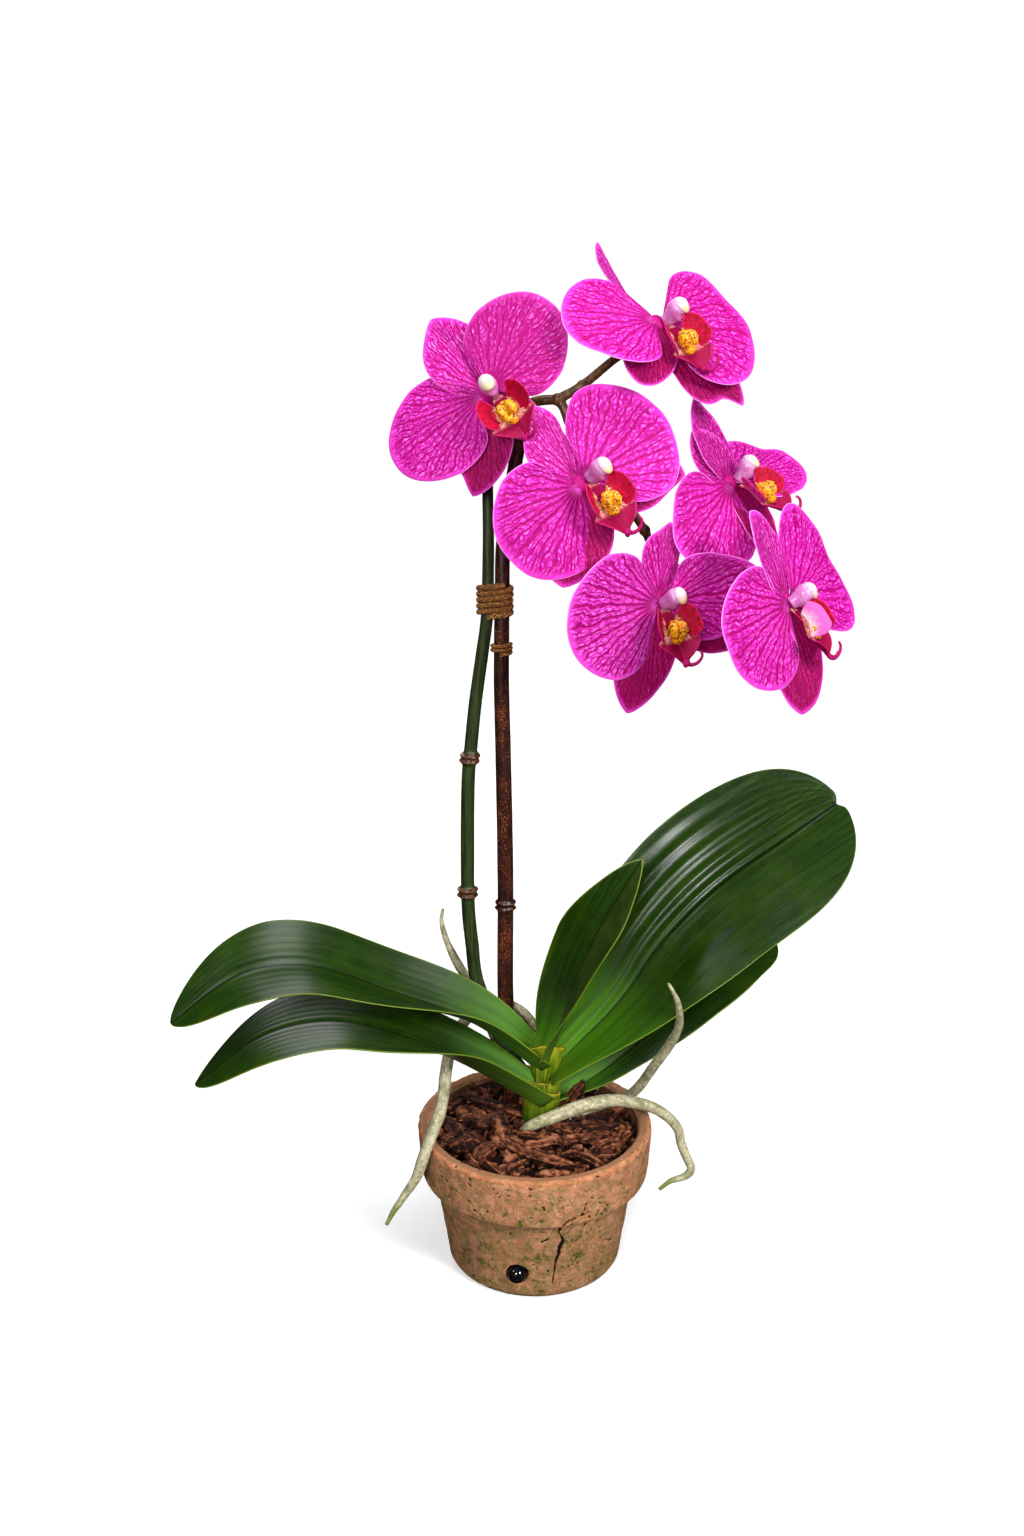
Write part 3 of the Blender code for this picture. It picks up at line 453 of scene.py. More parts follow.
weathered = clay.coats(
    clay.mix(patch.between(0.36, 0.62), (0.43, 0.168, 0.072), (0.69, 0.325, 0.165)),
    (strokes.between(0.48, 0.66) * 0.6, (0.76, 0.37, 0.22)),
    (strokes.between(0.44, 0.32) * 0.8, (0.22, 0.070, 0.026)),
    (cloud.between(0.52, 0.66) * 0.35, (0.66, 0.27, 0.19)),
    (olive * 0.75, clay.mix(strokes.between(0.35, 0.6), (0.13, 0.115, 0.02), (0.32, 0.25, 0.085))),
    (moss * 0.9, (0.080, 0.105, 0.010)),
    (corner.between(0.2, 0.9) * strokes.between(0.42, 0.58) * 0.65, (0.50, 0.14, 0.060)),
    (on_top * 0.85, (0.30, 0.14, 0.070)),
    # Painted shade: the inside of the wall, above the bark, is painted dark.
    (clay.mark("inner").clamped() * 0.9, clay.mix(patch, (0.06, 0.026, 0.014), (0.20, 0.085, 0.045))),
    # Painted highlight: a lighter ring round the drain hole's countersink. Inside the hole the clay is
    # painted a darker brown.
    (from_hole.between(7.0, 6.3) * 0.8, (0.62, 0.30, 0.15)),
    (from_hole.between(5.9, 5.6), (0.33, 0.13, 0.055)),
    (lip_line * strokes.between(0.35, 0.55) * 0.6, (0.78, 0.44, 0.28)),
    (shadow_line * 0.45, (0.16, 0.075, 0.035)),
    (specks * 0.75, (0.07, 0.035, 0.014)),
    (clay.mark("pit").between(0.25, 0.8) * 0.93, (0.022, 0.016, 0.008)),
    (pale * 0.8, (0.85, 0.72, 0.60)),
    (clay.mark("groove") * 0.6, (0.70, 0.36, 0.22)),
    (crack.between(0.0, 0.2) * 0.35, (0.50, 0.20, 0.05)),
    (crack.between(0.2, 0.6), (0.008, 0.005, 0.003)))
relief = patch * 0.3 + strokes * 0.55 + fine * 0.2 - specks * 0.3 + moss * 0.15
weathered_clay = clay.paint(weathered, 0.96 - olive * 0.1, relief, 1.0)

points, faces, marks = make_pot()
pot = add_piece("clay_pot", points, faces, weathered_clay, ["pot"], marks)
drilled(pot, DRAIN_X, DRAIN_WALL_Y, DRAIN_Z,
        ((DRAIN_RADIUS, DRAIN_DEPTH), (DRAIN_SINK_RADIUS, DRAIN_SINK_DEPTH)))


# The bead: a glossy, slightly dusty black glass ball that keeps the bark in. It is pushed into the drain
# hole's countersink, a little to the left of the hole's middle and below it.
BEAD_RADIUS = 4.75
BEAD_CENTRE = (DRAIN_X - 0.2, -43.7, DRAIN_Z - 0.4)
glass = Finish("black_glass", specular=0.7)
dust = glass.grain(2.2, detail=4.0)
dusted = glass.mix(dust.between(0.45, 0.75) * 0.25, (0.004, 0.004, 0.006), (0.03, 0.026, 0.022))
black_glass = glass.paint(dusted, 0.04 + dust.between(0.5, 0.8) * 0.05)


def ball(subdivisions):
    """Points, on a ball of radius 1, and faces of an even ball."""
    bm = bmesh.new()
    bmesh.ops.create_icosphere(bm, subdivisions=subdivisions, radius=1.0)
    points = np.array([v.co for v in bm.verts])
    faces = [tuple(v.index for v in face.verts) for face in bm.faces]
    bm.free()
    return points, faces


points, faces = ball(4)
add_piece("glass_bead", points * BEAD_RADIUS + BEAD_CENTRE, faces, black_glass, ["drain_bead"])


# The bark: chips and slivers of red-brown fir bark over a bed of crumbs, heaped a little towards the crown.
# Chips of three sizes are strewn evenly, and those that stand out in the photograph are laid one by one.
# Painted shade darkens the bed and the chips' hollows and undersides; their ridges and tops are painted
# light.

# How high the bark is at the front, how much higher in the middle and at the back, and how far out the heap
# ends.
BARK_LEVEL, BARK_HEAP, BARK_BACK_RISE, BARK_REACH = 65.5, 8.0, 6.5, 50.0


def bark_height(x, y):
    """The bark is heaped towards the crown, and stands nearer the rim at the back than at the front."""
    radius = np.minimum(np.hypot(x, y) / BARK_REACH, 1.0)
    heaped = BARK_HEAP * np.cos(radius * math.pi / 2) ** 1.5
    return BARK_LEVEL + heaped + BARK_BACK_RISE * np.clip((y + 5) / 40.0, 0, 1) * radius


def joined(parts):
    """One list of points, faces and marks from several."""
    points, faces, marks, start = [], [], {}, 0
    for part_points, part_faces, part_marks in parts:
        points.append(part_points)
        faces += [tuple(start + i for i in face) for face in part_faces]
        for mark, values in part_marks.items():
            marks.setdefault(mark, []).append(np.asarray(values, float).ravel())
        start += len(part_points)
    return np.vstack(points), faces, {mark: np.concatenate(values) for mark, values in marks.items()}


def tube_faces(rows, columns):
    """Faces of a tube whose rings of points are kept row by row, with both its ends closed."""
    last = (rows - 1) * columns
    return grid_faces(rows, columns, 0, True) + [tuple(range(columns)), tuple(range(last, last + columns))]


def placed(points, matrix):
    """Points moved and turned by a matrix."""
    return points @ np.array(matrix.to_3x3()).T + np.array(matrix.translation)


def bark_chip(centre, size, turn, rows, columns, draw):
    """A splinter of bark: an angular bar whose ridges run from end to end, with ragged, tapered ends."""
    length, width, thick = size
    round_it = np.linspace(0, 2 * math.pi, columns, endpoint=False)
    share, angle = np.meshgrid(np.linspace(-1, 1, rows), round_it, indexing="ij")
    shift = draw.uniform(0, 900)
    ridge = np.array([draw.uniform(-1, 1) for _ in range(columns)])[None, :]
    frayed = np.array([draw.uniform(-1, 1) for _ in range(columns)])[None, :]
    across = np.sign(np.cos(angle)) * np.abs(np.cos(angle)) ** 0.55
    upward = np.sign(np.sin(angle)) * np.abs(np.sin(angle)) ** 0.55
    taper = 1 - draw.uniform(0.35, 0.75) * np.abs(share) ** draw.uniform(2.2, 5.0)
    seeds = np.stack((share * length / 2 + shift, across * width / 2, upward * thick / 2), 2).reshape(-1, 3)
    knots = lumps(seeds, 3.2).reshape(rows, columns)
    nicks = lumps(seeds * (0.8, 1.6, 1.6), 1.2, 1).reshape(rows, columns)
    swell = taper * (1 + 0.17 * ridge + 0.30 * knots + 0.16 * nicks)
    swell[[0, -1]] *= 0.35
    x = length / 2 * (share * (1 + 0.16 * frayed * np.abs(share) ** 3))
    lean = draw.uniform(-0.3, 0.3)
    y = width / 2 * (across * swell + lean * share * np.abs(share))
    z = thick / 2 * upward * swell
    z = z + draw.uniform(-0.15, 0.22) * y * y / (width / 2) + draw.uniform(-0.12, 0.06) * x * x / (length / 2)
    y = y + draw.uniform(-0.12, 0.12) * x * x / (length / 2)
    local = np.stack((x, y, z), 2).reshape(-1, 3)
    spin = turned(Matrix.Identity(4), (turn[2], "Z"), (turn[1], "Y"), (turn[0], "X"))
    points = placed(local, spin) + centre
    # Painted light and shade: the upper side counts as higher, so the top is painted lighter and the
    # underside darker.
    high = (0.5 * ridge + 0.6 * knots + 0.5 * nicks + 0.35 * upward).ravel()
    return points, tube_faces(rows, columns), dict(run=seeds[:, 0], cross=(angle * 1.5 + shift).ravel(),
                                                   high=high, tone=np.full(len(points), draw.random()))


# The two ends (right, back) of each chip that stands out in the photograph, its width and its thickness.
LARGE_CHIPS = [((-17.7, -18.4), (16.3, -40.5), 7.5, 5.0), ((20, -23), (35, -36), 6.0, 4.5),
               ((-42, -19), (-29, -16), 12.0, 7.0), ((-29, -31), (-22, -21), 8.0, 7.0),
               ((-27, -7), (-12, 9), 8.0, 5.0), ((-34, 22), (-12, 12), 6.5, 4.5),
               ((-38, 6), (-25, 3), 6.5, 5.0), ((-20, 8), (-15, -17), 9.0, 5.5),
               ((2, -4), (17, -10), 6.0, 4.0), ((3, -14), (13, -19), 5.5, 4.5),
               ((16, -2), (41, -3), 7.0, 4.0), ((24, -14), (38, -8), 6.5, 5.0),
               ((33, -20), (44, -15), 8.0, 5.5), ((44, -7), (50, 6), 7.0, 4.5),
               ((3, -42), (15, -43), 6.0, 4.0), ((-6, -38), (-12, -46), 6.0, 4.5),
               ((-46, 8), (-38, -6), 7.0, 4.5), ((25, 6), (40, 12), 7.5, 4.5),
               ((-35, -30), (-28, -38), 6.0, 4.5), ((-30, 37), (-14, 42), 8.0, 5.0),
               ((14, 38), (31, 34), 8.0, 5.0), ((-5, -24), (8, -20), 6.0, 4.5)]
# How many chips are strewn, the rows and columns of points of each, the ranges that its length, width and
# thickness are drawn from, and how far its middle stands over the heap.
STREWN_CHIPS = [(420, 5, 7, (2.0, 5.0), (1.4, 3.0), (1.2, 2.4), -1.2),
                (170, 12, 14, (6.0, 13.0), (2.6, 5.6), (2.0, 4.2), -0.4),
                (30, 22, 20, (12.0, 20.0), (4.5, 8.0), (3.0, 5.0), 0.0)]
# How far round, in radians, each strewn chip is from the last, give or take a little.
GOLDEN_ANGLE = 2.39996
# The crown's middle, and how far from it no chip is strewn.
CROWN_X, CROWN_Y, CROWN_CLEARING = 2, 5, 9.5
# Chips that lean on the crown: centre, size, turn and rows and columns of points.
LEANING_CHIPS = [((18.5, 1.5, 83.0), (25, 7.0, 4.5), (8, -58, 12), 40, 26),
                 ((14.5, 2.5, 79.0), (18, 5, 3.5), (30, -50, 8), 30, 22)]
# Curled slivers: where each is and its radius.
BARK_CURLS = [(9.0, -15.0, 5.4), (37.0, -17.0, 5.0)]


def make_bark():
    draw = random.Random(5)
    rings = np.linspace(0.5, 52.2, 46)
    r, turn = np.meshgrid(rings, np.radians(np.arange(0, 360, 3)), indexing="ij")
    x, y = r * np.cos(turn), r * np.sin(turn)
    bed = np.stack((x, y, bark_height(x, y) - 3.0), 2).reshape(-1, 3)
    bed[:, 2] += lumps(bed, 4.0) * 1.4 + lumps(bed, 1.6, 1) * 0.9
    foot, turn = r[-1] * 0.85, turn[-1]
    bed = np.vstack((bed, np.stack((foot * np.cos(turn), foot * np.sin(turn), turn * 0 + 46), 1)))
    # Painted shade: the bed is marked far lower than any chip, so it is painted nearly black.
    parts = [(bed, tube_faces(len(rings) + 1, len(turn)), dict(
        run=bed[:, 0] * 3, cross=bed[:, 1] * 3, high=lumps(bed, 1.6, 1) - 0.8, tone=bed[:, 0] * 0))]
    for count, rows, columns, lengths, widths, thicks, lift in STREWN_CHIPS:
        for i in range(count):
            radius = 51.0 * math.sqrt((i + 0.5) / count)
            angle = i * GOLDEN_ANGLE + draw.uniform(-0.2, 0.2)
            length = draw.uniform(*lengths)
            radius = min(radius, 52.5 - length * 0.45)
            x, y = radius * math.cos(angle), radius * math.sin(angle)
            if math.hypot(x - CROWN_X, y - CROWN_Y) < CROWN_CLEARING:
                continue
            turn = (draw.uniform(-40, 40), draw.uniform(-26, 26), draw.uniform(0, 360))
            z = bark_height(x, y) + lift + draw.uniform(-0.9, 0.9)
            parts.append(bark_chip((x, y, z), (length, draw.uniform(*widths), draw.uniform(*thicks)),
                                   turn, rows, columns, draw))
    for (x0, y0), (x1, y1), width, thick in LARGE_CHIPS:
        x, y = (x0 + x1) / 2, (y0 + y1) / 2
        size = (math.hypot(x1 - x0, y1 - y0) + 2, width, thick)
        turn = (draw.uniform(-22, 22), draw.uniform(-5, 5), math.degrees(math.atan2(y1 - y0, x1 - x0)))
        parts.append(bark_chip((x, y, bark_height(x, y) + thick * 0.42), size, turn, 40, 26, draw))
    for x, y, radius in BARK_CURLS:
        z = float(bark_height(x, y)) + 1.6
        for start in (0, 130, 240):
            across = math.radians(start)
            centre = (x + radius * math.cos(across), y + radius * 0.8 * math.sin(across), z)
            turn = (70, draw.uniform(-12, 12), start + 90)
            parts.append(bark_chip(centre, (radius * 1.9, 3.6, 2.2), turn, 20, 18, draw))
    for chip in LEANING_CHIPS:
        parts.append(bark_chip(*chip, draw))
    return joined(parts)


fir = Finish("fir_bark", specular=0.12)
tone, high = fir.mark("tone"), fir.mark("high")
fibre_at = fir.vector(fir.mark("run") * 0.22, fir.mark("cross"), tone * 20)
fibres = fir.grain(0.55, at=fibre_at, detail=5.0, rough=0.68, warp=0.4)
flakes = fir.grain(2.4, at=fibre_at, detail=3.0)
red_brown = fir.coats(
    fir.mix(fibres.between(0.34, 0.66), (0.034, 0.009, 0.004), (0.165, 0.044, 0.018)),
    (tone.between(0.45, 0.95) * flakes.between(0.4, 0.62) * 0.8, (0.25, 0.080, 0.036)),
    # Darker random tone on some chips, and painted shade on the whole bed, which is marked 0.
    (tone.between(0.35, 0.05) * 0.65, (0.10, 0.032, 0.022)),
    # Painted highlight on the ridges and on the chips' tops.
    ((high + fibres - 0.5).between(0.40, 0.85) * 0.75, (0.42, 0.16, 0.075)),
    # Painted shade: nearly black in the hollows, under the chips and on the bed.
    ((high + (fibres - 0.5) * 1.8).between(0.42, -0.12) * 0.95, (0.008, 0.003, 0.002)),
    (fibres.between(0.38, 0.28) * 0.85, (0.012, 0.004, 0.003)))
fir_bark = fir.paint(red_brown, 0.55 + fibres * 0.3, fibres * 0.8 + flakes * 0.4, 1.0)
points, faces, marks = make_bark()
add_piece("bark_chips", points, faces, fir_bark, ["bark"], marks)


# The crown: the short stem in its stacked leaf sheaths. Where old leaves have dropped, each sheath is left as
# a yellow-green cup with a thin rim, and dry brown papery skin at the joints.
SHEATHS = [dict(low=62, high=87.5, radii=(7.6, 8.8, 9.0), depth=7.4, arch=2.6),
           dict(low=82, high=98.0, radii=(6.0, 8.2, 9.2), depth=7.0, arch=-2.6),
           dict(low=91, high=113.0, radii=(4.6, 7.0, 8.8), depth=6.4, arch=3.0)]


def make_sheath(low, high, radii, depth, arch):
    """A cup with a thin rim: its wall goes up outside, over the rim and a little way down inside."""
    levels = [(s, 0.0) for s in np.linspace(0, 1, 22)] + [(1.01, 0.35), (0.99, 0.9), (0.93, 1.5), (0.8, 2.0)]
    turn = np.radians(np.arange(0, 360, 5))
    rings = []
    for share, inset in levels:
        radius = np.interp(min(share, 1), (0, 0.55, 1), radii) - inset
        keel = 1 + 0.05 * np.cos(2 * turn + 0.6) + 0.035 * np.cos(5 * turn) + 0.02 * np.cos(9 * turn + 1)
        wide = radius * keel
        x, y = wide * np.cos(turn), wide * np.sin(turn) * depth / max(radii)
        top = high + arch * np.cos(turn + math.pi / 2) + 0.5 * np.sin(3 * turn)
        z = low + (top - low) * share
        rings.append(np.stack((x + 1.5 + (z - 66) * 0.09, y + 5.0, z), 1))
    points = np.vstack(rings)
    share = np.repeat([s for s, _ in levels], len(turn))
    return points, tube_faces(len(levels), len(turn)), dict(rise=share, around=np.tile(turn, len(levels)))


sheath = Finish("sheath_green", specular=0.3)
rise, height = sheath.mark("rise"), sheath.mm("Z")
ribs = sheath.grain(0.9, at=sheath.vector(sheath.mark("around") * 5.0, rise * 1.2), detail=3.0)
papery = sheath.grain(3.0, detail=4.0).between(0.5, 0.58) * rise.between(0.93, 0.99)
yellow_green = sheath.coats(
    sheath.mix(rise.between(0.25, 0.95), (0.04, 0.10, 0.003), (0.19, 0.24, 0.008)),
    (ribs.between(0.45, 0.62) * 0.6, (0.40, 0.42, 0.025)),
    (ribs.between(0.45, 0.34) * 0.7, (0.05, 0.12, 0.004)),
    (height.between(94.0, 74.0) * 0.75, (0.022, 0.068, 0.002)),
    (rise.between(0.95, 0.985) * 0.85, (0.46, 0.40, 0.012)),
    (papery * 0.9, (0.26, 0.11, 0.03)))
sheath_green = sheath.paint(yellow_green, 0.20 + ribs * 0.2, ribs, 0.5)
points, faces, marks = joined([make_sheath(**sizes) for sizes in SHEATHS])
add_piece("crown_sheaths", points, faces, sheath_green, ["crown"], marks)


# The leaves: five thick, leathery, glossy blades, folded along the midrib where they leave the crown. The
# large right-hand one is ribbed lengthwise and notched at its tip, and all have a thin yellow-green edge.
# Shade is painted along each midrib's crease, and a grey sheen is painted on one half of the young leaf.
def unit(vectors):
    """The same directions, each of length 1."""
    return vectors / np.linalg.norm(vectors, axis=1)[:, None]


def curve_at(points, t):
    """Places at t, 0 to 1, on a smooth curve through the given points."""
    p = np.asarray(points, float)
    p = np.vstack((2 * p[0] - p[1], p, 2 * p[-1] - p[-2]))
    at = np.clip(t, 0, 0.9999) * (len(points) - 1)
    i = at.astype(int)
    f = (at - i)[:, None]
    a, b, c, d = p[i], p[i + 1], p[i + 2], p[i + 3]
    square, cube = 2 * a - 5 * b + 4 * c - d, 3 * b - a - 3 * c + d
    return 0.5 * (2 * b + (c - a) * f + square * f * f + cube * f ** 3)


def blade(middle, thickness, marks):
    """A thin solid from the grid of its middle surface and a grid of thicknesses, all in mm."""
    rows, columns = middle.shape[:2]
    normal = np.cross(np.gradient(middle, axis=1), np.gradient(middle, axis=0))
    normal /= np.maximum(np.linalg.norm(normal, axis=2), 1e-9)[:, :, None]
    offset = normal * np.asarray(thickness)[:, :, None] / 2
    points = np.vstack(((middle + offset).reshape(-1, 3), (middle - offset).reshape(-1, 3)))
    other = rows * columns
    faces = grid_faces(rows, columns) + [face[::-1] for face in grid_faces(rows, columns, other)]
    border = ([(0, c) for c in range(columns)] + [(r, columns - 1) for r in range(1, rows)]
              + [(rows - 1, c) for c in range(columns - 2, -1, -1)]
              + [(r, 0) for r in range(rows - 2, 0, -1)])
    border = [r * columns + c for r, c in border]
    for i, j in zip(border, border[1:] + border[:1]):
        faces.append((j, i, i + other, j + other))
    kept = {mark: np.tile(np.asarray(values, float).ravel(), 2) for mark, values in marks.items()}
    kept["face"] = np.repeat((1.0, 0.0), other)
    return points, faces, kept


# Midrib points from the crown to the tip, width, where it is widest, how blunt its end is, tilt about the
# midrib at the base, a third, two thirds and the tip, fold at base, middle and tip, ribs a side, how high
# those of its two halves stand, how pointed (0.5 is round) its very tip is, how deep that is notched, and how
# deep the midrib is creased.
LEAVES = {
    "leaf_upper_left": dict(
        midrib=[(2, 4, 101), (-29, 1, 129), (-71, -10, 151), (-110, -19, 169), (-143, -26, 167),
                (-175, -33, 145)],
        width=52, widest=0.70, blunt=1.5, tilt=(10, 18, 22, 25), fold=(58, 16, 4), ribs=6,
        high=(0.05, 0.06), point=0.62),
    "leaf_lower_left": dict(
        midrib=[(3, -1, 83), (-28, -9, 108), (-60, -22, 131), (-97, -27, 143), (-132, -33, 138),
                (-164, -38, 115)],
        width=52, widest=0.64, blunt=1.6, tilt=(5, 8, 10, 12), fold=(60, 10, -4), ribs=7,
        high=(0.06, 0.07), point=0.62),
    "leaf_large_right": dict(
        midrib=[(7, 7, 98), (42, 12, 134), (63, 15, 165), (90, 18, 194), (123, 24, 217), (154, 31, 237)],
        width=84, widest=0.60, blunt=3.0, tilt=(-40, -55, -55, -55), fold=(46, 13, 8), ribs=5,
        high=(0.5, 0.08), notch=3.0, crease=1.2),
    "leaf_lower_right": dict(
        midrib=[(6, 8, 79), (36, 21, 91), (66, 28, 116), (87, 33, 137), (107, 41, 150), (129, 50, 151)],
        width=44, widest=0.62, blunt=2.0, tilt=(-20, -35, -40, -40), fold=(50, 18, 8), ribs=5,
        high=(0.12, 0.12)),
    "leaf_young": dict(
        midrib=[(7, 2, 108), (13, -1, 130), (21, -4, 157), (31, -7, 183), (41, -8, 202), (51, -9, 220)],
        width=38, widest=0.55, blunt=1.35, tilt=(-40, -60, -60, -60), fold=(50, 34, 28), ribs=4,
        high=(0.06, 0.06), point=0.72),
}
# How many even samples the midrib is eased over, and how many a side of each one the easing reaches.
LINE_SAMPLES, EASE_REACH = 401, 30


def eased(samples):
    """Rounds off the kinks of a line given as even samples, one a row; its ends stay where they are."""
    before = 2 * samples[0] - samples[EASE_REACH:0:-1]
    after = 2 * samples[-1] - samples[-2:-EASE_REACH - 2:-1]
    padded = np.concatenate((before, samples, after))
    window = np.hanning(2 * EASE_REACH + 3)[1:-1]
    return np.stack([np.convolve(line, window / window.sum(), "valid") for line in padded.T], 1)


def columns_at(stations, run, line):
    """Each column of a line's samples, which were taken at run, as it is at the stations."""
    return np.stack([np.interp(stations, run, column) for column in line.T], 1)


def make_leaf(name, midrib, width, widest, blunt, tilt, fold, ribs, high, notch=0.0, point=0.5,
              crease=0.5):
    t = 0.9995 * (1 - (1 - np.linspace(0, 1, 86)) ** 1.6)
    x = np.linspace(-1, 1, 65)
    v = 0.35 * x + 0.65 * np.sin(x * math.pi / 2) ** 3
    even = np.linspace(0, 1, LINE_SAMPLES)
    line = eased(np.column_stack((curve_at(midrib, even), np.interp(even, (0, 0.33, 0.67, 1), tilt),
                                  np.interp(even, (0, 0.5, 1), fold))))
    place = columns_at(t, even, line[:, :3])
    way = unit(columns_at(t, even, np.gradient(line[:, :3], axis=0)))
    level = unit(np.cross(way, (0, 0, 1.0)))
    upward = np.cross(level, way)
    lean = np.radians(np.interp(t, even, line[:, 3]))[:, None]
    across = level * np.cos(lean) + upward * np.sin(lean)
    normal = upward * np.cos(lean) - level * np.sin(lean)
    bend = np.radians(np.interp(t, even, line[:, 4]))
    end = np.maximum(0, (t - widest) / (1 - widest))
    broadening = 0.42 + 0.58 * np.sin(math.pi / 2 * np.minimum(t / widest, 1))
    half = width / 2 * broadening * np.maximum(0, 1 - end ** blunt) ** point
    t_grid, v_grid = np.meshgrid(t, v, indexing="ij")
    sideways = v_grid * np.cos(bend)[:, None]
    lift = np.abs(v_grid) ** 1.4 * np.sin(bend)[:, None]
    middle = place[:, None] + half[:, None, None] * (sideways[:, :, None] * across[:, None]
                                                     + lift[:, :, None] * normal[:, None])
    from_rib = np.abs(v_grid) * half[:, None]
    middle = middle - (notch * t_grid ** 40 * np.exp(-(from_rib / 3.0) ** 2))[:, :, None] * way[:, None]
    body = np.clip(t_grid * 6, 0, 1) * np.clip((1 - t_grid) * 5, 0, 1) ** 0.5
    rib_height = np.where(v_grid < 0, high[0], high[1])
    wave = np.cos(2 * math.pi * ribs * np.abs(v_grid) ** 0.9) * np.exp(-(np.abs(v_grid) / 0.9) ** 6)
    slow = 0.35 * np.sin(t_grid * 17 + v_grid * 3) * np.abs(v_grid) ** 2
    trough = -crease * np.exp(-(from_rib / 1.3) ** 2)
    push = (rib_height * wave + slow + trough) * body
    middle = middle + push[:, :, None] * normal[:, None]
    thickness = (0.55 + 1.25 * (1 - np.abs(v_grid) ** 3)) * np.clip(1.25 - t_grid * 0.4, 0.4, 1)
    thickness[-1] = 0.3
    # The last mark says where a grey sheen is painted: on one half of the young leaf.
    return blade(middle, thickness, dict(along=t_grid, across=v_grid, wide=np.repeat(half, len(v)),
                                        gloss=np.full(t_grid.shape, float(high[0] > 0.4)),
                                        painted_sheen=np.clip(v_grid * 30, 0, 1) * float(name == "leaf_young")))


leaf = Finish("leaf_green", specular=0.32)
along, across, wide = leaf.mark("along"), leaf.mark("across"), leaf.mark("wide")
aside = across.maths("ABSOLUTE")
streaks = leaf.grain(1.0, at=leaf.vector(along * 3.0, across * wide * 0.7), detail=5.0, rough=0.6)
long_streaks = leaf.grain(1.0, at=leaf.vector(along * 1.2, across * wide * 0.22), detail=2.0)
mottle = leaf.grain(16.0, detail=4.0)
fine_wax = leaf.grain(0.8, detail=4.0, rough=0.7)
young_green = along.between(0.34, 0.06) * (0.35 + 0.65 * long_streaks.between(0.3, 0.6))
# Painted shade: a dark line along the midrib's crease.
midrib_shade = (aside * wide).between(1.1, 0.5) * along.between(0.02, 0.1)
edge_line = ((1 - aside) * wide).between(0.55, 0.15)
deep_green = leaf.coats(
    leaf.mix(streaks.between(0.3, 0.7), (0.004, 0.018, 0.0004), (0.012, 0.038, 0.0008)),
    (mottle.between(0.42, 0.7) * 0.4, (0.024, 0.058, 0.0006)),
    (long_streaks.between(0.52, 0.75) * 0.3, (0.038, 0.085, 0.0006)),
    (young_green, (0.060, 0.205, 0.0008)),
    # Painted sheen: one half of the young leaf is painted a lighter grey-green.
    (leaf.mark("painted_sheen") * (0.4 + 0.5 * mottle.between(0.4, 0.6)), (0.034, 0.058, 0.009)),
    (along.between(0.12, 0.0) * 0.6, (0.10, 0.19, 0.006)),
    ((1 - leaf.mark("face")) * 0.45, (0.05, 0.11, 0.01)),
    # Painted shade in the midrib's crease.
    (midrib_shade * 0.9, (0.002, 0.009, 0.0005)),
    (edge_line * 0.6, (0.19, 0.27, 0.012)))
matt = (0.26 - leaf.mark("gloss") * 0.09 + streaks * 0.12 + fine_wax.between(0.5, 0.8) * 0.12
        + along.between(0.45, 0.2) * 0.3)
leaf_green = leaf.paint(deep_green, matt, streaks * 0.3 + fine_wax * 0.35 + long_streaks * 0.3, 0.16)
for name, sizes in LEAVES.items():
    points, faces, marks = make_leaf(name, **sizes)
    add_piece("glossy_" + name, points, faces, leaf_green, [name], marks)


# The air roots: silver-grey spongy roots with a mottled skin and green growing tips. Three come up out of the
# bark and one leaves the crown, and each is a round, slightly lumpy stem along its own course.
ROOTS = {
    "root_front": (
        [(-8, -6, 66), (-3, -8, 75), (9, -8, 80.5), (23, -6, 85.5), (37, -2, 86.5), (48, 0, 85),
         (59, 3, 80.5), (68, 5, 74), (74.5, 5, 66), (76, 4, 59), (79, 2, 51.5), (81.5, 0, 46),
         (78, -2, 42.5), (70.5, -3, 40.5), (64.5, -4, 36)], (2.2, 3.4, 3.5, 3.1, 2.6, 2.3, 0.9)),
    "root_rising": (
        [(12, 5, 66), (20, 8, 72), (32, 12, 75), (44, 16, 76.5), (51, 14, 82), (56, 9, 91.5),
         (62, 2, 106), (68, -4, 120), (71, -10, 132), (70.5, -15, 143), (68, -18, 152),
         (64, -19, 160)], (2.4, 2.7, 2.7, 2.6, 2.4, 2.0, 0.8)),
    "root_hanging": (
        [(4, 9, 90), (3.5, 18, 99), (2, 24, 110), (-4, 26.5, 120), (-12, 28, 125), (-22, 28, 125.5),
         (-32, 25, 122), (-39, 17, 118), (-43, 7, 112), (-45, -5, 105), (-46, -13, 97),
         (-48, -20, 89), (-51, -27, 82.5), (-55.5, -32.5, 72), (-59, -34, 62), (-65, -36, 53),
         (-70, -38, 46), (-74, -40, 39)], (2.4, 2.6, 2.8, 3.1, 3.1, 2.7, 1.0)),
    "root_back": (
        [(-9, 29, 64), (-14, 32, 84), (-24, 35, 112), (-33, 33, 134), (-39, 31, 146), (-44, 30, 157),
         (-47, 30, 166), (-48, 30, 173), (-47, 30, 179)], (2.6, 2.8, 2.7, 2.3, 0.8)),
}
# How long each root's green tip is.
GREEN_TIP = {"root_front": 11.0, "root_rising": 1.0, "root_hanging": 14.0, "root_back": 1.0}


def run_along(line):
    """How far along a line of points each of them is."""
    return np.concatenate(((0,), np.cumsum(np.linalg.norm(np.diff(line, axis=0), axis=1))))


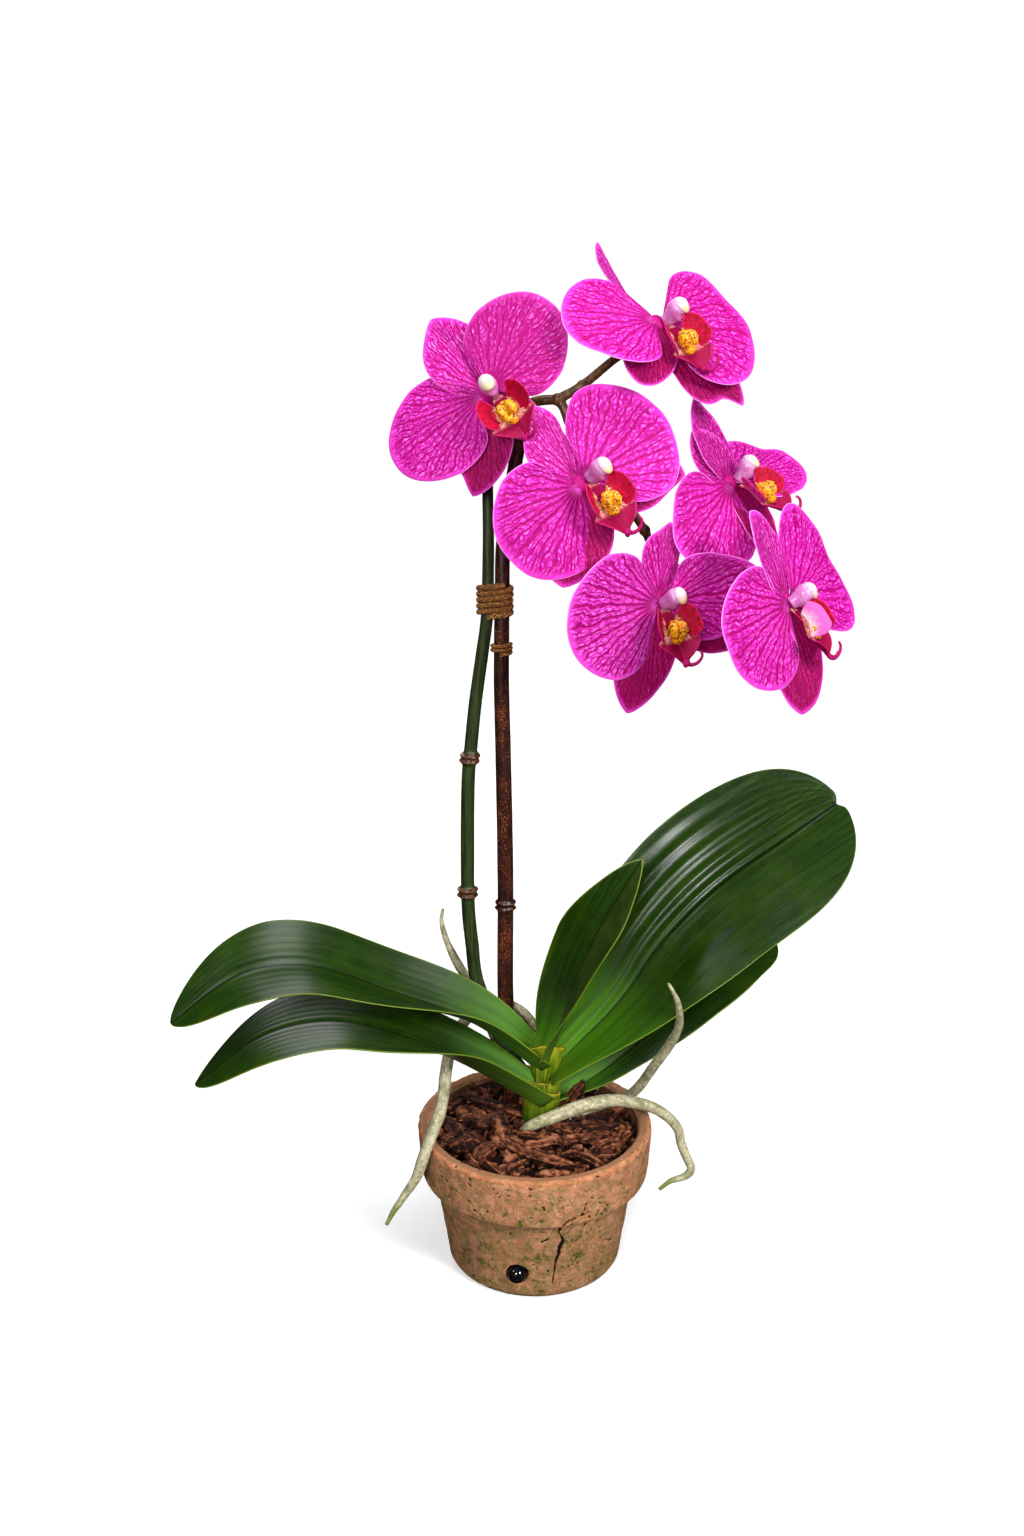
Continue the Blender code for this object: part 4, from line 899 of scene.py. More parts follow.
def stem(route, radii, sides, step, swell=None):
    """A round-ended stem: radii, in mm, are spread evenly along a smooth curve through the mm points, and
    swell(points on the stem, how far along they are, angle round it) is added to them."""
    line = curve_at(route, np.linspace(0, 1, 600))
    run = run_along(line)
    total = run[-1]
    tips = np.array((0.02, 0.1, 0.25, 0.45, 0.7))
    stations = np.concatenate((tips * radii[0], np.arange(radii[0], total - radii[-1], step),
                               total - tips[::-1] * radii[-1]))
    centre = columns_at(stations, run, line)
    way = unit(np.gradient(centre, axis=0))
    radius = np.interp(stations / total, np.linspace(0, 1, len(radii)), radii)
    for reach, cap in ((stations, radii[0]), (total - stations, radii[-1])):
        radius = radius * np.sqrt(1 - (1 - np.clip(reach / cap, 0, 1)) ** 2)
    side = np.cross(way[0], (0.31, 0.9, 0.2))
    turn = np.linspace(0, 2 * math.pi, sides, endpoint=False)
    rings = []
    for ahead in way:
        side = side - ahead * side.dot(ahead)
        side /= np.linalg.norm(side)
        rings.append(np.cos(turn)[:, None] * side + np.sin(turn)[:, None] * np.cross(ahead, side))
    outward = np.vstack(rings)
    middle = np.repeat(centre, sides, axis=0)
    size = np.repeat(radius, sides)
    along = np.repeat(stations, sides)
    around = np.tile(turn, len(stations))
    if swell is not None:
        size = size + swell(middle + outward * size[:, None], along, around) * np.clip(size, 0, 1)
    points = middle + outward * size[:, None]
    return points, tube_faces(len(stations), sides), dict(along=along, around=around, left=total - along)


def spongy(points, along, around):
    return lumps(points, 7.0) * 0.28 + lumps(points, 2.6, 1) * 0.06


velamen = Finish("root_silver", specular=0.4)
tip = velamen.mark("tip")
mottled = velamen.grain(3.0, detail=5.0, rough=0.6, warp=0.8)
skin_at = velamen.vector(velamen.mark("along") * 0.35, velamen.mark("around") * 2.6)
cracks = velamen.grain(1.0, at=skin_at, detail=4.0, rough=0.6)
scales = velamen.cells(1.3)
silver = velamen.coats(
    velamen.mix(mottled.between(0.35, 0.65), (0.27, 0.26, 0.13), (0.58, 0.52, 0.33)),
    (cracks.between(0.50, 0.66) * 0.8, (0.78, 0.73, 0.55)),
    (velamen.grain(8.0, detail=4.0).between(0.52, 0.66) * 0.65, (0.15, 0.18, 0.055)),
    (scales.between(0.10, 0.0) * 0.35, (0.15, 0.14, 0.07)),
    (tip * 0.85, (0.17, 0.20, 0.022)))
root_silver = velamen.paint(silver, 0.36 + mottled * 0.2 - tip * 0.2,
                            mottled * 0.4 + cracks * 0.5 + scales.between(0.0, 0.2) * 0.25, 0.25)
for name, (route, radii) in ROOTS.items():
    points, faces, marks = stem(route, radii, 18, 1.1, spongy)
    fade = GREEN_TIP[name] * 0.6
    marks["tip"] = 1 - np.clip((marks["left"] - fade) / fade, 0, 1)
    add_piece("silver_" + name, points, faces, root_silver, [name], marks)


# The cane: a dark maroon stick with one ringed joint, stuck in the bark, that holds the flower spike up. It
# bows a little, thins towards its top and ends behind the highest bloom on the left.
STAKE_ROUTE = [(-11, 20, 14), (-12, 20, 86), (-15, 20, 133), (-15, 20, 199), (-16, 20, 263),
               (-16.8, 20, 301), (-16.4, 20, 340), (-15.6, 20, 369), (-10.5, 20, 402), (-8, 20, 415),
               (-7, 20, 420)]
STAKE_RADII = (4.1, 4.15, 4.0, 3.7, 3.2)
STAKE_JOINT_Z = 185.0
# A joint's two rings stand this far above and below its middle, and are this broad.
JOINT_RING_SHIFT, JOINT_RING_BREADTH = 1.45, 0.85


def jointed(heights, high):
    """A swelling for a stem that has a pair of raised rings at each of the heights."""
    def swell(points, along, around):
        z = points[:, 2]
        made = lumps(points * (1, 1, 0.15), 2.0) * 0.06
        for middle in heights:
            made = made + high * (np.exp(-((z - middle - JOINT_RING_SHIFT) / JOINT_RING_BREADTH) ** 2)
                                  + np.exp(-((z - middle + JOINT_RING_SHIFT) / JOINT_RING_BREADTH) ** 2))
        return made
    return swell


cane = Finish("dark_cane")
along, around = cane.mark("along"), cane.mark("around")
streaks = cane.grain(1.0, at=cane.vector(along * 0.12, around * 2.5), detail=4.0)
flecks = cane.grain(1.0, at=cane.vector(along * 1.3, around * 5.5), detail=3.0)
flecked = (flecks * 0.8 + cane.grain(10.0, detail=2.0) * 0.2).between(0.575, 0.61)
maroon = cane.coats(cane.mix(streaks.between(0.3, 0.7), (0.008, 0.0025, 0.002), (0.032, 0.008, 0.0055)),
                    (flecked * 0.95, (0.50, 0.12, 0.035)))
dark_cane = cane.paint(maroon, 0.22 + streaks * 0.2, streaks * 0.6 + flecks * 0.4, 0.3)
points, faces, marks = stem(STAKE_ROUTE, STAKE_RADII, 24, 0.8, jointed((STAKE_JOINT_Z,), 1.5))
add_piece("cane_stake", points, faces, dark_cane, ["stake"], marks)


# The flower spike: one stem that leaves the crown among the leaves, is tied to the cane, arches over at the
# top and forks into the stalks of the six blooms. It is green below and brown-olive from the arch on.
SPIKE_ROUTE = [(-3, 8, 93), (-11, 11, 104), (-18, 13.5, 115), (-24, 18, 128), (-30, 21, 144),
               (-32, 20.5, 162), (-34, 20, 190), (-33.5, 20, 245), (-32, 20, 266), (-29.5, 20, 290),
               (-26.4, 20, 312), (-23.9, 20, 330), (-23.2, 20, 345), (-22.8, 20, 369), (-23, 20, 390),
               (-22.5, 20, 403), (-19, 20, 416), (-11, 19, 427), (-1, 17, 432), (9, 16, 433)]
SPIKE_RADII = (3.5, 3.5, 3.45, 3.2, 2.7, 2.3)
BRANCH_UP = [(9, 16, 433), (20, 17, 439), (34, 19.5, 450), (41, 22, 454), (45, 23, 455)]
BRANCH_DOWN = [(9, 16, 433), (12, 15, 429), (15, 14, 421), (21, 13, 411), (31, 12, 396), (42, 12, 385),
               (50, 14, 374), (55, 15, 364), (64, 16, 357), (80, 17, 354), (92, 16, 355), (99, 14, 356)]
BRANCH_UP_RADII, BRANCH_DOWN_RADII, STALK_RADII = (2.3, 1.95), (2.3, 2.05, 1.75), (2.0, 1.6, 1.5, 1.7)
SPIKE_JOINTS_Z = (191.9, 262.2)
# How fine the spike's one skin is, and how many times it is smoothed.
SPIKE_VOXEL, SPIKE_SMOOTHING = 0.65, 2
# The round knuckle at each fork: its centre and its radius.
FORKS = [((9, 16, 433), 3.0), ((20, 17, 439), 2.7), ((50, 14, 374), 2.8)]

# Each bloom: where its centre is and which way it faces (turn, lift, roll), how its lip and column stand off
# that (turn, nod, roll, shift right, shift up), and for each tepal its direction, lean, twist, length, width
# and, where it isn't almost flat, how far it curls forward.
BLOOMS = {
    "bloom_1": dict(centre=(-22.8, -4, 436.3), face=(-8, 7, 38), lip=(5, -11, 0, 2.4, -2.4), tepals=dict(
        dorsal=(91, -3, 3, 42, 28), right=(20, -1, -4, 47, 47), left=(178, -4, 7, 52, 44),
        lower_left=(223, -4, -2, 46, 30), lower_right=(285, -14, 20, 33, 20))),
    "bloom_2": dict(centre=(53.4, 12, 467), face=(30, 36, 6), lip=(0, 12, 10, 2.6, -1), tepals=dict(
        dorsal=(94, -35, 38, 61, 25, 0.36), right=(-15, 2, 0, 50, 60), left=(177, 3, 11, 48, 52),
        lower_left=(231, -1, 2, 38, 27), lower_right=(307, -6, 11, 56, 28))),
    "bloom_3": dict(centre=(18.5, -22, 399), face=(16, 14, 36), lip=(10, 5, -11, 3.6, -0.3), tepals=dict(
        dorsal=(83, -4, 0, 40, 25), right=(6, -1, -10, 50, 57), left=(188, 1, -12, 47, 55),
        lower_left=(222, -5, 5, 46, 36), lower_right=(327, 0, 0, 51, 30))),
    "bloom_4": dict(centre=(90, 20, 396), face=(41, 21, 15), lip=(7, -20, 2, 3.2, -1.6), tepals=dict(
        dorsal=(77, -14, 8, 42, 27, 0.07), upper=(96, -14, -3, 30, 23, 0.10), right=(-2, -1, -38, 52, 44),
        left=(213, -2, 3, 47, 51), lower_right=(285, 5, -7, 54, 25), lower_left=(245, -8, 0, 32, 25))),
    "bloom_5": dict(centre=(55.6, -12, 345), face=(23, -2, 8), lip=(8, -14, -2, 0, -1), tepals=dict(
        dorsal=(74, 1, 7, 36, 20), right=(-1, 9, 4, 45, 43), left=(183, 7, -7, 48, 61),
        lower_left=(247, 1, 6, 53, 30), lower_right=(318, -3, 2, 47, 24))),
    "bloom_6": dict(centre=(111, -28, 348), face=(44, 13, 28), lip=(24, 2, -18, -2.2, 0), tepals=dict(
        dorsal=(83, 2, 12, 44, 24), right=(-5, -2, -9, 53, 52, -0.15), left=(177, 1, -2, 47, 57),
        lower_left=(243, 1, 13, 51, 29), lower_right=(312, -6, 0, 40, 25))),
}
STALK_ROOTS = {"bloom_1": (-17, 20, 419), "bloom_2": (45, 23, 455), "bloom_3": (25, 12.5, 404),
               "bloom_4": (55, 15, 364), "bloom_5": (64, 16, 357), "bloom_6": (99, 14, 356)}
# How far behind a bloom's centre its stalk turns towards it and ends, and how the stalk bows on its way.
USUAL_STALK_TURN, STALK_TURN, STALK_END = 13, {"bloom_6": 8}, 3.2
USUAL_STALK_BOW, STALK_BOW = (0, 2, 1.5), {"bloom_2": (-1, 1.5, -1), "bloom_6": (6, -1, 1.5)}


def bloom_axes(turn, lift, roll):
    """Columns: right, up and forward of a bloom that faces -Y when all three angles are 0."""
    turn, lift, roll = (math.radians(angle) for angle in (turn, lift, roll))
    forward = Vector((math.sin(turn) * math.cos(lift), -math.cos(turn) * math.cos(lift), math.sin(lift)))
    level = Vector((0, 0, 1)).cross(forward).normalized()
    upright = forward.cross(level)
    right = level * math.cos(roll) + upright * math.sin(roll)
    up = upright * math.cos(roll) - level * math.sin(roll)
    return Matrix((right, up, forward)).transposed()


def stalk_route(name, centre, face):
    """From the branch to just behind a bloom's centre, arriving square to its back."""
    back = bloom_axes(*face) @ Vector((0, 0, -1))
    root, centre = Vector(STALK_ROOTS[name]), Vector(centre)
    near = centre + back * STALK_TURN.get(name, USUAL_STALK_TURN)
    middle = (root + near) / 2 + Vector(STALK_BOW.get(name, USUAL_STALK_BOW))
    return [tuple(p) for p in (root, middle, near, centre + back * STALK_END)]


def fused(name, parts, voxel, smoothing):
    """Fuses overlapping closed forms into one skin, with its joints softened, and gives points and faces."""
    points, faces, _ = joined([(p, f, {}) for p, f, *_ in parts])
    draft = in_scene(name, mesh_of(name, points, faces))
    remesh = draft.modifiers.new("one_skin", "REMESH")
    remesh.mode = "VOXEL"
    remesh.voxel_size = voxel * MM
    soften = draft.modifiers.new("soften", "SMOOTH")
    soften.factor = 0.5
    soften.iterations = smoothing
    skin = carried_out(draft)
    bpy.data.objects.remove(draft)
    made = np.array([v.co for v in skin.vertices]) * 1000
    return made, [tuple(face.vertices) for face in skin.polygons]


spike_parts = [stem(SPIKE_ROUTE, SPIKE_RADII, 24, 1.0, jointed(SPIKE_JOINTS_Z, 2.5)),
               stem(BRANCH_UP, BRANCH_UP_RADII, 16, 1.0), stem(BRANCH_DOWN, BRANCH_DOWN_RADII, 16, 1.0)]
round_points, round_faces = ball(3)
for centre, radius in FORKS:
    spike_parts.append((round_points * radius + centre, round_faces))
for name, bloom in BLOOMS.items():
    spike_parts.append(stem(stalk_route(name, bloom["centre"], bloom["face"]), STALK_RADII, 14, 1.0))
points, faces = fused("flower_spike_skin", spike_parts, SPIKE_VOXEL, SPIKE_SMOOTHING)

green = Finish("spike_green", specular=0.4)
height = green.mm("Z")
streaks = green.grain(2.0, detail=4.0)
stretched = green.node("ShaderNodeMapping", None, {"Vector": green.place(), "Scale": (900.0, 900.0, 60.0)})
lines = green.grain(1.0, at=stretched, detail=3.0)
ringed = 0
for joint in SPIKE_JOINTS_Z:
    ringed = ringed + (height - joint).maths("ABSOLUTE").between(3.4, 2.4)
brown = height.between(402.0, 424.0).maths("MAXIMUM", green.mm("X").between(-6.0, 6.0))
stem_green = green.coats(
    green.mix(lines.between(0.35, 0.65), (0.010, 0.019, 0.004), (0.034, 0.052, 0.012)),
    (ringed, green.mix(streaks.between(0.4, 0.6), (0.028, 0.009, 0.005), (0.13, 0.05, 0.022))),
    (brown, green.mix(streaks.between(0.35, 0.65), (0.050, 0.021, 0.005), (0.17, 0.080, 0.018))))
matt = 0.3 + streaks * 0.2 - ringed * 0.12
spike_green = green.paint(stem_green, matt, lines * 0.5 + streaks * 0.5, 0.18)
add_piece("arching_spike", points, faces, spike_green, ["flower_spike"])


# The ties: brown twisted twine wound five times round the spike and the cane, and a short winding
# of thinner twine on the cane alone.

# The height of each, its turns, how far it rises in a turn and the radii of the two stems in it; the tie
# also slopes.
TIE_Z, TIE_TURNS, TIE_PITCH, TIE_SLOPE, TIE_STEM_RADII = 340.4, 5.1, 2.85, 0.08, (2.65, 2.65)
RING_Z, RING_TURNS, RING_PITCH, RING_STEM_RADII = 317.0, 2.3, 2.1, (3.5, 3.5)
# The twine of the tie and of the winding: its radius, and how far it runs while its strands turn once.
TIE_TWINE, TIE_LAY, RING_TWINE, RING_LAY, STRANDS = 1.45, 7.0, 0.95, 5.0, 3


def at_height(route, z):
    """Where a route that only rises crosses a height."""
    fine = curve_at(route, np.linspace(0, 1, 3000))
    return fine[np.argmin(np.abs(fine[:, 2] - z))]


def wound(centres, radii, twine, turns, pitch, z, slope):
    """A twine's path round two round stems: centres and radii are those of the left and right stem."""
    middle = (centres[0][0] + centres[1][0]) / 2
    bottom = z - turns * pitch / 2
    path = []
    for i in range(int(turns * 40) + 1):
        angle = math.radians(-100) + i * math.pi / 20
        side = 1 / (1 + math.exp(-14 * math.cos(angle)))
        reach = radii[0] * (1 - side) + radii[1] * side + twine + 0.1
        outward = np.array((math.cos(angle), math.sin(angle), 0))
        place = centres[0] * (1 - side) + centres[1] * side + outward * reach
        place[2] = bottom + i / 40 * pitch + slope * (place[0] - middle)
        path.append(place)
    return path


def twisted(path, radius, lay):
    """Twine: strands laid round each other along a path, once every lay mm."""
    line = curve_at(path, np.linspace(0, 1, len(path) * 4))
    run = run_along(line)
    stations = np.arange(0, run[-1], lay / 10)
    centre = columns_at(stations, run, line)
    way = unit(np.gradient(centre, axis=0))
    side = unit(np.cross(way, (0, 0, 1.0)))
    up = np.cross(side, way)
    parts = []
    for k in range(STRANDS):
        turn = stations / lay * 2 * math.pi + k * 2 * math.pi / STRANDS
        offset = (np.cos(turn)[:, None] * side + np.sin(turn)[:, None] * up) * radius * 0.46
        strand = stem(centre + offset, (radius * 0.56,) * 2, 8, lay / 9)
        strand[2]["ply"] = np.full(len(strand[0]), k / STRANDS)
        parts.append(strand)
    return parts


hemp = Finish("brown_twine", specular=0.3)
fibre_at = hemp.vector(hemp.mark("along") * 0.9 + hemp.mark("ply") * 9, hemp.mark("around") * 1.6)
fibres = hemp.grain(1.0, at=fibre_at, detail=4.0, warp=0.6)
twine_brown = hemp.coats(hemp.mix(fibres.between(0.3, 0.7), (0.060, 0.019, 0.004), (0.42, 0.165, 0.032)),
                         (fibres.between(0.56, 0.68), (0.80, 0.43, 0.12)))
brown_twine = hemp.paint(twine_brown, 0.6 + fibres * 0.25, fibres, 0.25)
tied = (at_height(SPIKE_ROUTE, TIE_Z), at_height(STAKE_ROUTE, TIE_Z))
tie = wound(tied, TIE_STEM_RADII, TIE_TWINE, TIE_TURNS, TIE_PITCH, TIE_Z, TIE_SLOPE)
ringed_cane = (at_height(STAKE_ROUTE, RING_Z),) * 2
ring = wound(ringed_cane, RING_STEM_RADII, RING_TWINE, RING_TURNS, RING_PITCH, RING_Z, 0.0)
for name, path, radius, lay, node in (("spike_tie", tie, TIE_TWINE, TIE_LAY, "twine_tie"),
                                      ("cane_winding", ring, RING_TWINE, RING_LAY, "twine_ring")):
    points, faces, marks = joined(twisted(path, radius, lay))
    add_piece(name, points, faces, brown_twine, [node], marks)


# The petals and sepals: thin, slightly crisp tepals, vivid magenta-pink, with darker veins that fan out from
# the claw and fork towards a pale thin edge. The two lower sepals are a deeper crimson, partly their own
# colour and partly painted shade. Some tepals are painted darker or lighter as shade and light, the pads
# between the veins carry painted highlights, and a glow of painted light lifts their shade.

# Where a tepal's edge bulges (or, below 0, is drawn in): how far round it, from -1 at one side of the claw
# over 0 at the tip to 1 at the claw's other side, and by how many mm.
BULGES = {
    "bloom_1": dict(dorsal=((0.5, 2),), lower_left=((-0.25, -4),)),
    "bloom_2": dict(dorsal=((-0.25, -2), (0.6, 3)), right=((-0.4, 2), (0.35, -3)), left=((0.1, 2),),
                    lower_left=((0.0, -2),), lower_right=((-0.5, 4), (-0.2, -6))),
    "bloom_3": dict(dorsal=((-0.5, -6), (0.6, 3)), right=((-0.5, 2), (0.5, 2), (0.75, -3)),
                    left=((0.0, -1),), lower_left=((0.5, 1),), lower_right=((-0.25, -3), (0.35, 2))),
    "bloom_4": dict(dorsal=((0.0, 2),), upper=((0.5, 1),), right=((-0.9, 4), (0.3, -7)), left=((-0.2, 3),),
                    lower_right=((0.35, -5),)),
    "bloom_5": dict(dorsal=((-0.6, -3), (0.5, 5)), right=((-0.35, 3), (0.05, 5), (0.5, -2)),
                    left=((-0.75, -1),), lower_left=((0.1, 1),), lower_right=((-0.5, -2), (0.05, 3))),
    "bloom_6": dict(dorsal=((-0.25, 2),), right=((-0.5, 7), (-0.05, -7), (0.5, 8)), left=((-0.3, 3),),
                    lower_left=((0.3, 3),)),
}
BULGE_BREADTH = 0.18
# Painted shade and painted light: the tepals that are painted darker (below 0) or lighter (above 0)
# than the rest, from -1 to 1.
TEPAL_SHADING = dict(bloom_1=dict(right=-1.0, left=-0.3), bloom_2=dict(right=-0.4), bloom_3=dict(left=0.1),
             bloom_4=dict(left=0.1), bloom_5=dict(left=0.7, right=0.3), bloom_6=dict(left=0.3, right=0.1))
# How crimson, partly as painted shade, and how light between its veins, a kind of tepal is.
CRIMSON_AND_SHADE = dict(lower_left=1.0, lower_right=1.0)
LIGHT = dict(dorsal=0.55, upper=0.45)
# The small hub that a bloom's tepals meet on.
HUB_RADII, HUB_CENTRE = (3.9, 3.9, 2.2), (0, 0, -1.1)


def same(count, **values):
    """Marks that are the same at each of count points."""
    return {mark: np.full(count, float(value)) for mark, value in values.items()}


def tepal_outline(broad, t, length, width):
    """The edge at t, from -1 over 0 at the tip to 1: broad ones are round, the others pointed."""
    angle = math.pi * 0.86 * t
    c, s = np.cos(angle), np.sin(angle)
    if broad:
        power = 2 / 2.25
        u = length * (0.52 + 0.50 * np.sign(c) * np.abs(c) ** power)
        v = width / 2 * np.sign(s) * np.abs(s) ** power
        return u, v * (1 - 0.18 * np.maximum(0.0, (u / length - 0.55) / 0.45))
    k = (1 + c) / 2
    full = 0.4545 ** 0.60 * 0.5455 ** 0.72
    return length * k, np.sign(angle) * width / 2 * k ** 0.60 * (1 - k) ** 0.72 / full


def make_tepal(kind, bulges, tone, seed, direction, lean, twist, length, width, curl=None):
    broad = kind in ("left", "right")
    a = np.linspace(-1, 1, 97 if broad else 65)
    b = 1 - (1 - np.linspace(0.02, 1, 26)) ** 1.15
    u, v = tepal_outline(broad, a, length, width)
    away = np.maximum(np.hypot(u - length / 2, v), 1e-6)
    push = -6.0 * np.exp(-((1 - np.abs(a)) / 0.13) ** 2) if broad else a * 0
    for place, high in bulges:
        push = push + high * np.exp(-((a - place) / BULGE_BREADTH) ** 2)
    u, v = u + (u - length / 2) / away * push, v + v / away * push
    a_grid, b_grid = np.meshgrid(a, b, indexing="xy")
    claw = 0.04 * length
    u = claw + (u - claw) * b_grid
    v = v * b_grid
    level, usual_curl, cup = (0.6, -0.06, 0.03) if broad else (-1.2, -0.05, 0.06)
    curl = usual_curl if curl is None else curl
    w = level + curl * u * u / length + cup * (2 * v / width) ** 2 * width / 2
    ruffle = np.clip((b_grid - 0.55) / 0.45, 0, 1) ** 2 * (0.5 if broad else 0.3)
    w = w + ruffle * np.sin(a_grid * 7.0 + seed * 1.7) * (0.4 + 0.6 * np.abs(a_grid))
    keel = 0.5 if broad or kind == "upper" else 1.1
    w = w - keel * np.exp(-(v / 1.8) ** 2) * np.clip(1.1 - u / length, 0, 1)
    flat = np.stack((u + seed * 90, v, v * 0), 2).reshape(-1, 3)
    waves = (lumps(flat, 11.0) * 0.5 + lumps(flat, 4.0, 1) * 0.14).reshape(w.shape)
    w = w + waves * np.clip(b_grid * 2, 0, 1)
    way = turned(Matrix.Identity(4), (direction, "Z"), (-lean, "Y"), (twist, "X"))
    thickness = 0.30 + 0.6 * (1 - b_grid) ** 0.5
    return blade(placed(np.stack((u, v, w), 2), way), thickness, dict(
        fan=a_grid, reach=b_grid, out=u, aside=v, **same(
            u.shape, deep=CRIMSON_AND_SHADE.get(kind, 0), light=LIGHT.get(kind, 0), pick=seed * 3.7, size=length,
            tone=tone)))


petal = Finish("petal_pink", specular=0.12)
fan, reach, pick, size = petal.mark("fan"), petal.mark("reach"), petal.mark("pick"), petal.mark("size")
tone = petal.mark("tone")
flat_at = petal.vector(petal.mark("out"), petal.mark("aside"), pick)
sway = petal.grain(11.0, at=flat_at, detail=2.0) - 0.5
small_sway = petal.grain(2.2, at=flat_at, detail=2.0) - 0.5
swayed = fan + sway * 0.15 + small_sway * 0.035


def vein_lines(count, breadth):
    """Dark lines that fan out: count of them across the tepal, breadth mm wide."""
    phase = (swayed * (count / 2) + 0.5).maths("FRACT")
    off_line = (phase - 0.5).maths("ABSOLUTE")
    gap_mm = (reach * size * (2.9 / count)).maths("MAXIMUM", 0.5)
    return (off_line * gap_mm).between(breadth, breadth * 0.3)


main_veins = vein_lines(13, 0.95) * reach.between(1.0, 0.86)
side_veins = vein_lines(26, 0.72) * reach.between(0.36, 0.55) * reach.between(1.0, 0.90)
edge_veins = vein_lines(52, 0.48) * reach.between(0.6, 0.8) * reach.between(1.0, 0.95)
net = petal.cells(1.0, at=petal.vector(swayed * 34.0, reach * size * 0.27, pick))
net_lines = net.between(0.17, 0.03)
pad = net.between(0.07, 0.34)
crisp = petal.grain(1.3, at=flat_at, detail=3.0)
broad_cloud = petal.grain(9.0, at=flat_at, detail=2.0)
middle_part = reach.between(0.05, 0.3) * reach.between(1.0, 0.90)
# Painted highlight on the raised pads between the veins, over their own paler colour.
pale_pad_highlight = pad * crisp.between(0.36, 0.62) * (0.35 + 0.65 * middle_part)
veins = (main_veins + side_veins * 0.85 + edge_veins * 0.6).maths("MINIMUM", 1.0)
crimson = petal.coats(
    # Painted highlight: the raised pads between the veins are painted lighter.
    petal.mix(pad * crisp.between(0.4, 0.65) * 0.6, (0.34, 0.0012, 0.09), (0.60, 0.02, 0.30)),
    ((veins + net_lines * 0.4).clamped(), (0.21, 0.0004, 0.035)))
pink = petal.coats(
    petal.mix(broad_cloud.between(0.3, 0.7), (0.55, 0.008, 0.35), (0.69, 0.020, 0.49)),
    # Painted shade on the tepals marked below 0, and painted light on those marked above 0.
    (tone.between(0.0, -1.0) * 0.7, (0.30, 0.001, 0.14)),
    (tone.between(0.0, 1.0) * 0.4, (0.90, 0.11, 0.74)),
    # Painted highlight on the pads between the veins.
    (pale_pad_highlight * 0.7, (0.92, 0.21, 0.78)),
    (petal.mark("light") * pad * 0.6, (0.92, 0.24, 0.76)),
    (net_lines * middle_part * 0.8, (0.36, 0.001, 0.17)),
    (veins * reach.between(0.02, 0.12) * 0.96, (0.33, 0.0003, 0.12)),
    (reach.between(0.16, 0.04) * 0.15, (0.86, 0.24, 0.66)),
    (reach.between(0.90, 0.97) * 0.15, (0.88, 0.10, 0.68)),
    # The lower sepals' deeper crimson: partly their own colour, partly painted shade.
    (petal.mark("deep") * reach.between(1.0, 0.93) * 0.9, crimson),
    (reach.between(0.985, 0.999) * 0.55, (0.97, 0.42, 0.88)))
relief = (pad * 0.35 - veins * 0.8 + crisp * 0.35) * reach.between(1.0, 0.92)
# The glow is painted light: the tepals give off light of their own colour, which lifts their shade.
petal_pink = petal.paint(pink, 0.44 + crisp * 0.16, relief, 0.5, glow=0.20)

BLOOM_FRAMES = {}
for number, (name, bloom) in enumerate(BLOOMS.items(), 1):
    axes = Matrix.Translation(Vector(bloom["centre"])) @ bloom_axes(*bloom["face"]).to_4x4()
    BLOOM_FRAMES[name] = axes
    parts = []
    for i, (kind, tepal) in enumerate(bloom["tepals"].items()):
        parts.append(make_tepal(kind, BULGES[name].get(kind, ()), TEPAL_SHADING[name].get(kind, 0.0), number * 6 + i,
                                *tepal))
    hub = round_points * HUB_RADII + HUB_CENTRE
    parts.append((hub, round_faces, dict(out=hub[:, 0], aside=hub[:, 1], **same(
        len(hub), fan=0, reach=0.14, tone=0, deep=0, light=0, pick=number, size=40, face=1))))
    points, faces, marks = joined(parts)
    add_piece(name + "_tepals", placed(points, axes), faces, petal_pink, [name + "_petals"], marks)


# The lip: two upright side lobes like cupped hands, crimson outside and pale with red-brown bars within, a
# crimson, kite-shaped middle lobe that ends in two curled whiskers, and a narrow claw to the bloom's centre.

# How thick the lobes are in the middle and at the edge.
LIP_THICK, LIP_THIN = 0.9, 0.35
# How far, in degrees, the side lobes bend forward where they start, and how much more by their edge.
USUAL_BEND, SIDE_LOBE_BEND = (32.0, 24.0), {"bloom_6": (75.0, 20.0)}
# The courses of the two whiskers.
WHISKERS = [[(0.2, -26.8, 9.8), (-1.2, -28.8, 11.6), (-1.6, -28.4, 14.0), (-0.4, -26.4, 14.6)],
            [(0.4, -26.5, 9.6), (1.8, -29.0, 11.4), (4.6, -28.6, 13.6), (6.6, -26.0, 15.0),
             (6.0, -23.4, 15.0)]]


def lip_frame(bloom, axes):
    """Where a bloom's lip, column and callus are, from the bloom's own axes."""
    yaw, nod, roll, right, up = bloom["lip"]
    return turned(axes @ Matrix.Translation((right, up, 0)), (yaw, "Y"), (nod, "X"), (roll, "Z"))


def lip_lobe(place, rows, columns, part, inner=1):
    """A sheet whose point (a across, b along), both 0 to 1, is at place(a, b); inner is -1 where its first
    side is the one that faces outwards."""
    a, b = np.meshgrid(np.linspace(0, 1, columns), np.linspace(0, 1, rows), indexing="xy")
    middle = np.stack(place(a, b), 2)
    edge = np.minimum(np.minimum(a, 1 - a) * 2, (1 - b) * 2)
    thickness = LIP_THIN + (LIP_THICK - LIP_THIN) * np.clip(edge * 2.5, 0, 1) ** 0.6
    points, faces, marks = blade(middle, thickness, dict(
        part=np.full(a.shape, part), out=b, high=2 * a - 1, rim=edge))
    marks["inner"] = marks["face"] if inner > 0 else 1 - marks["face"]
    return points, faces, marks


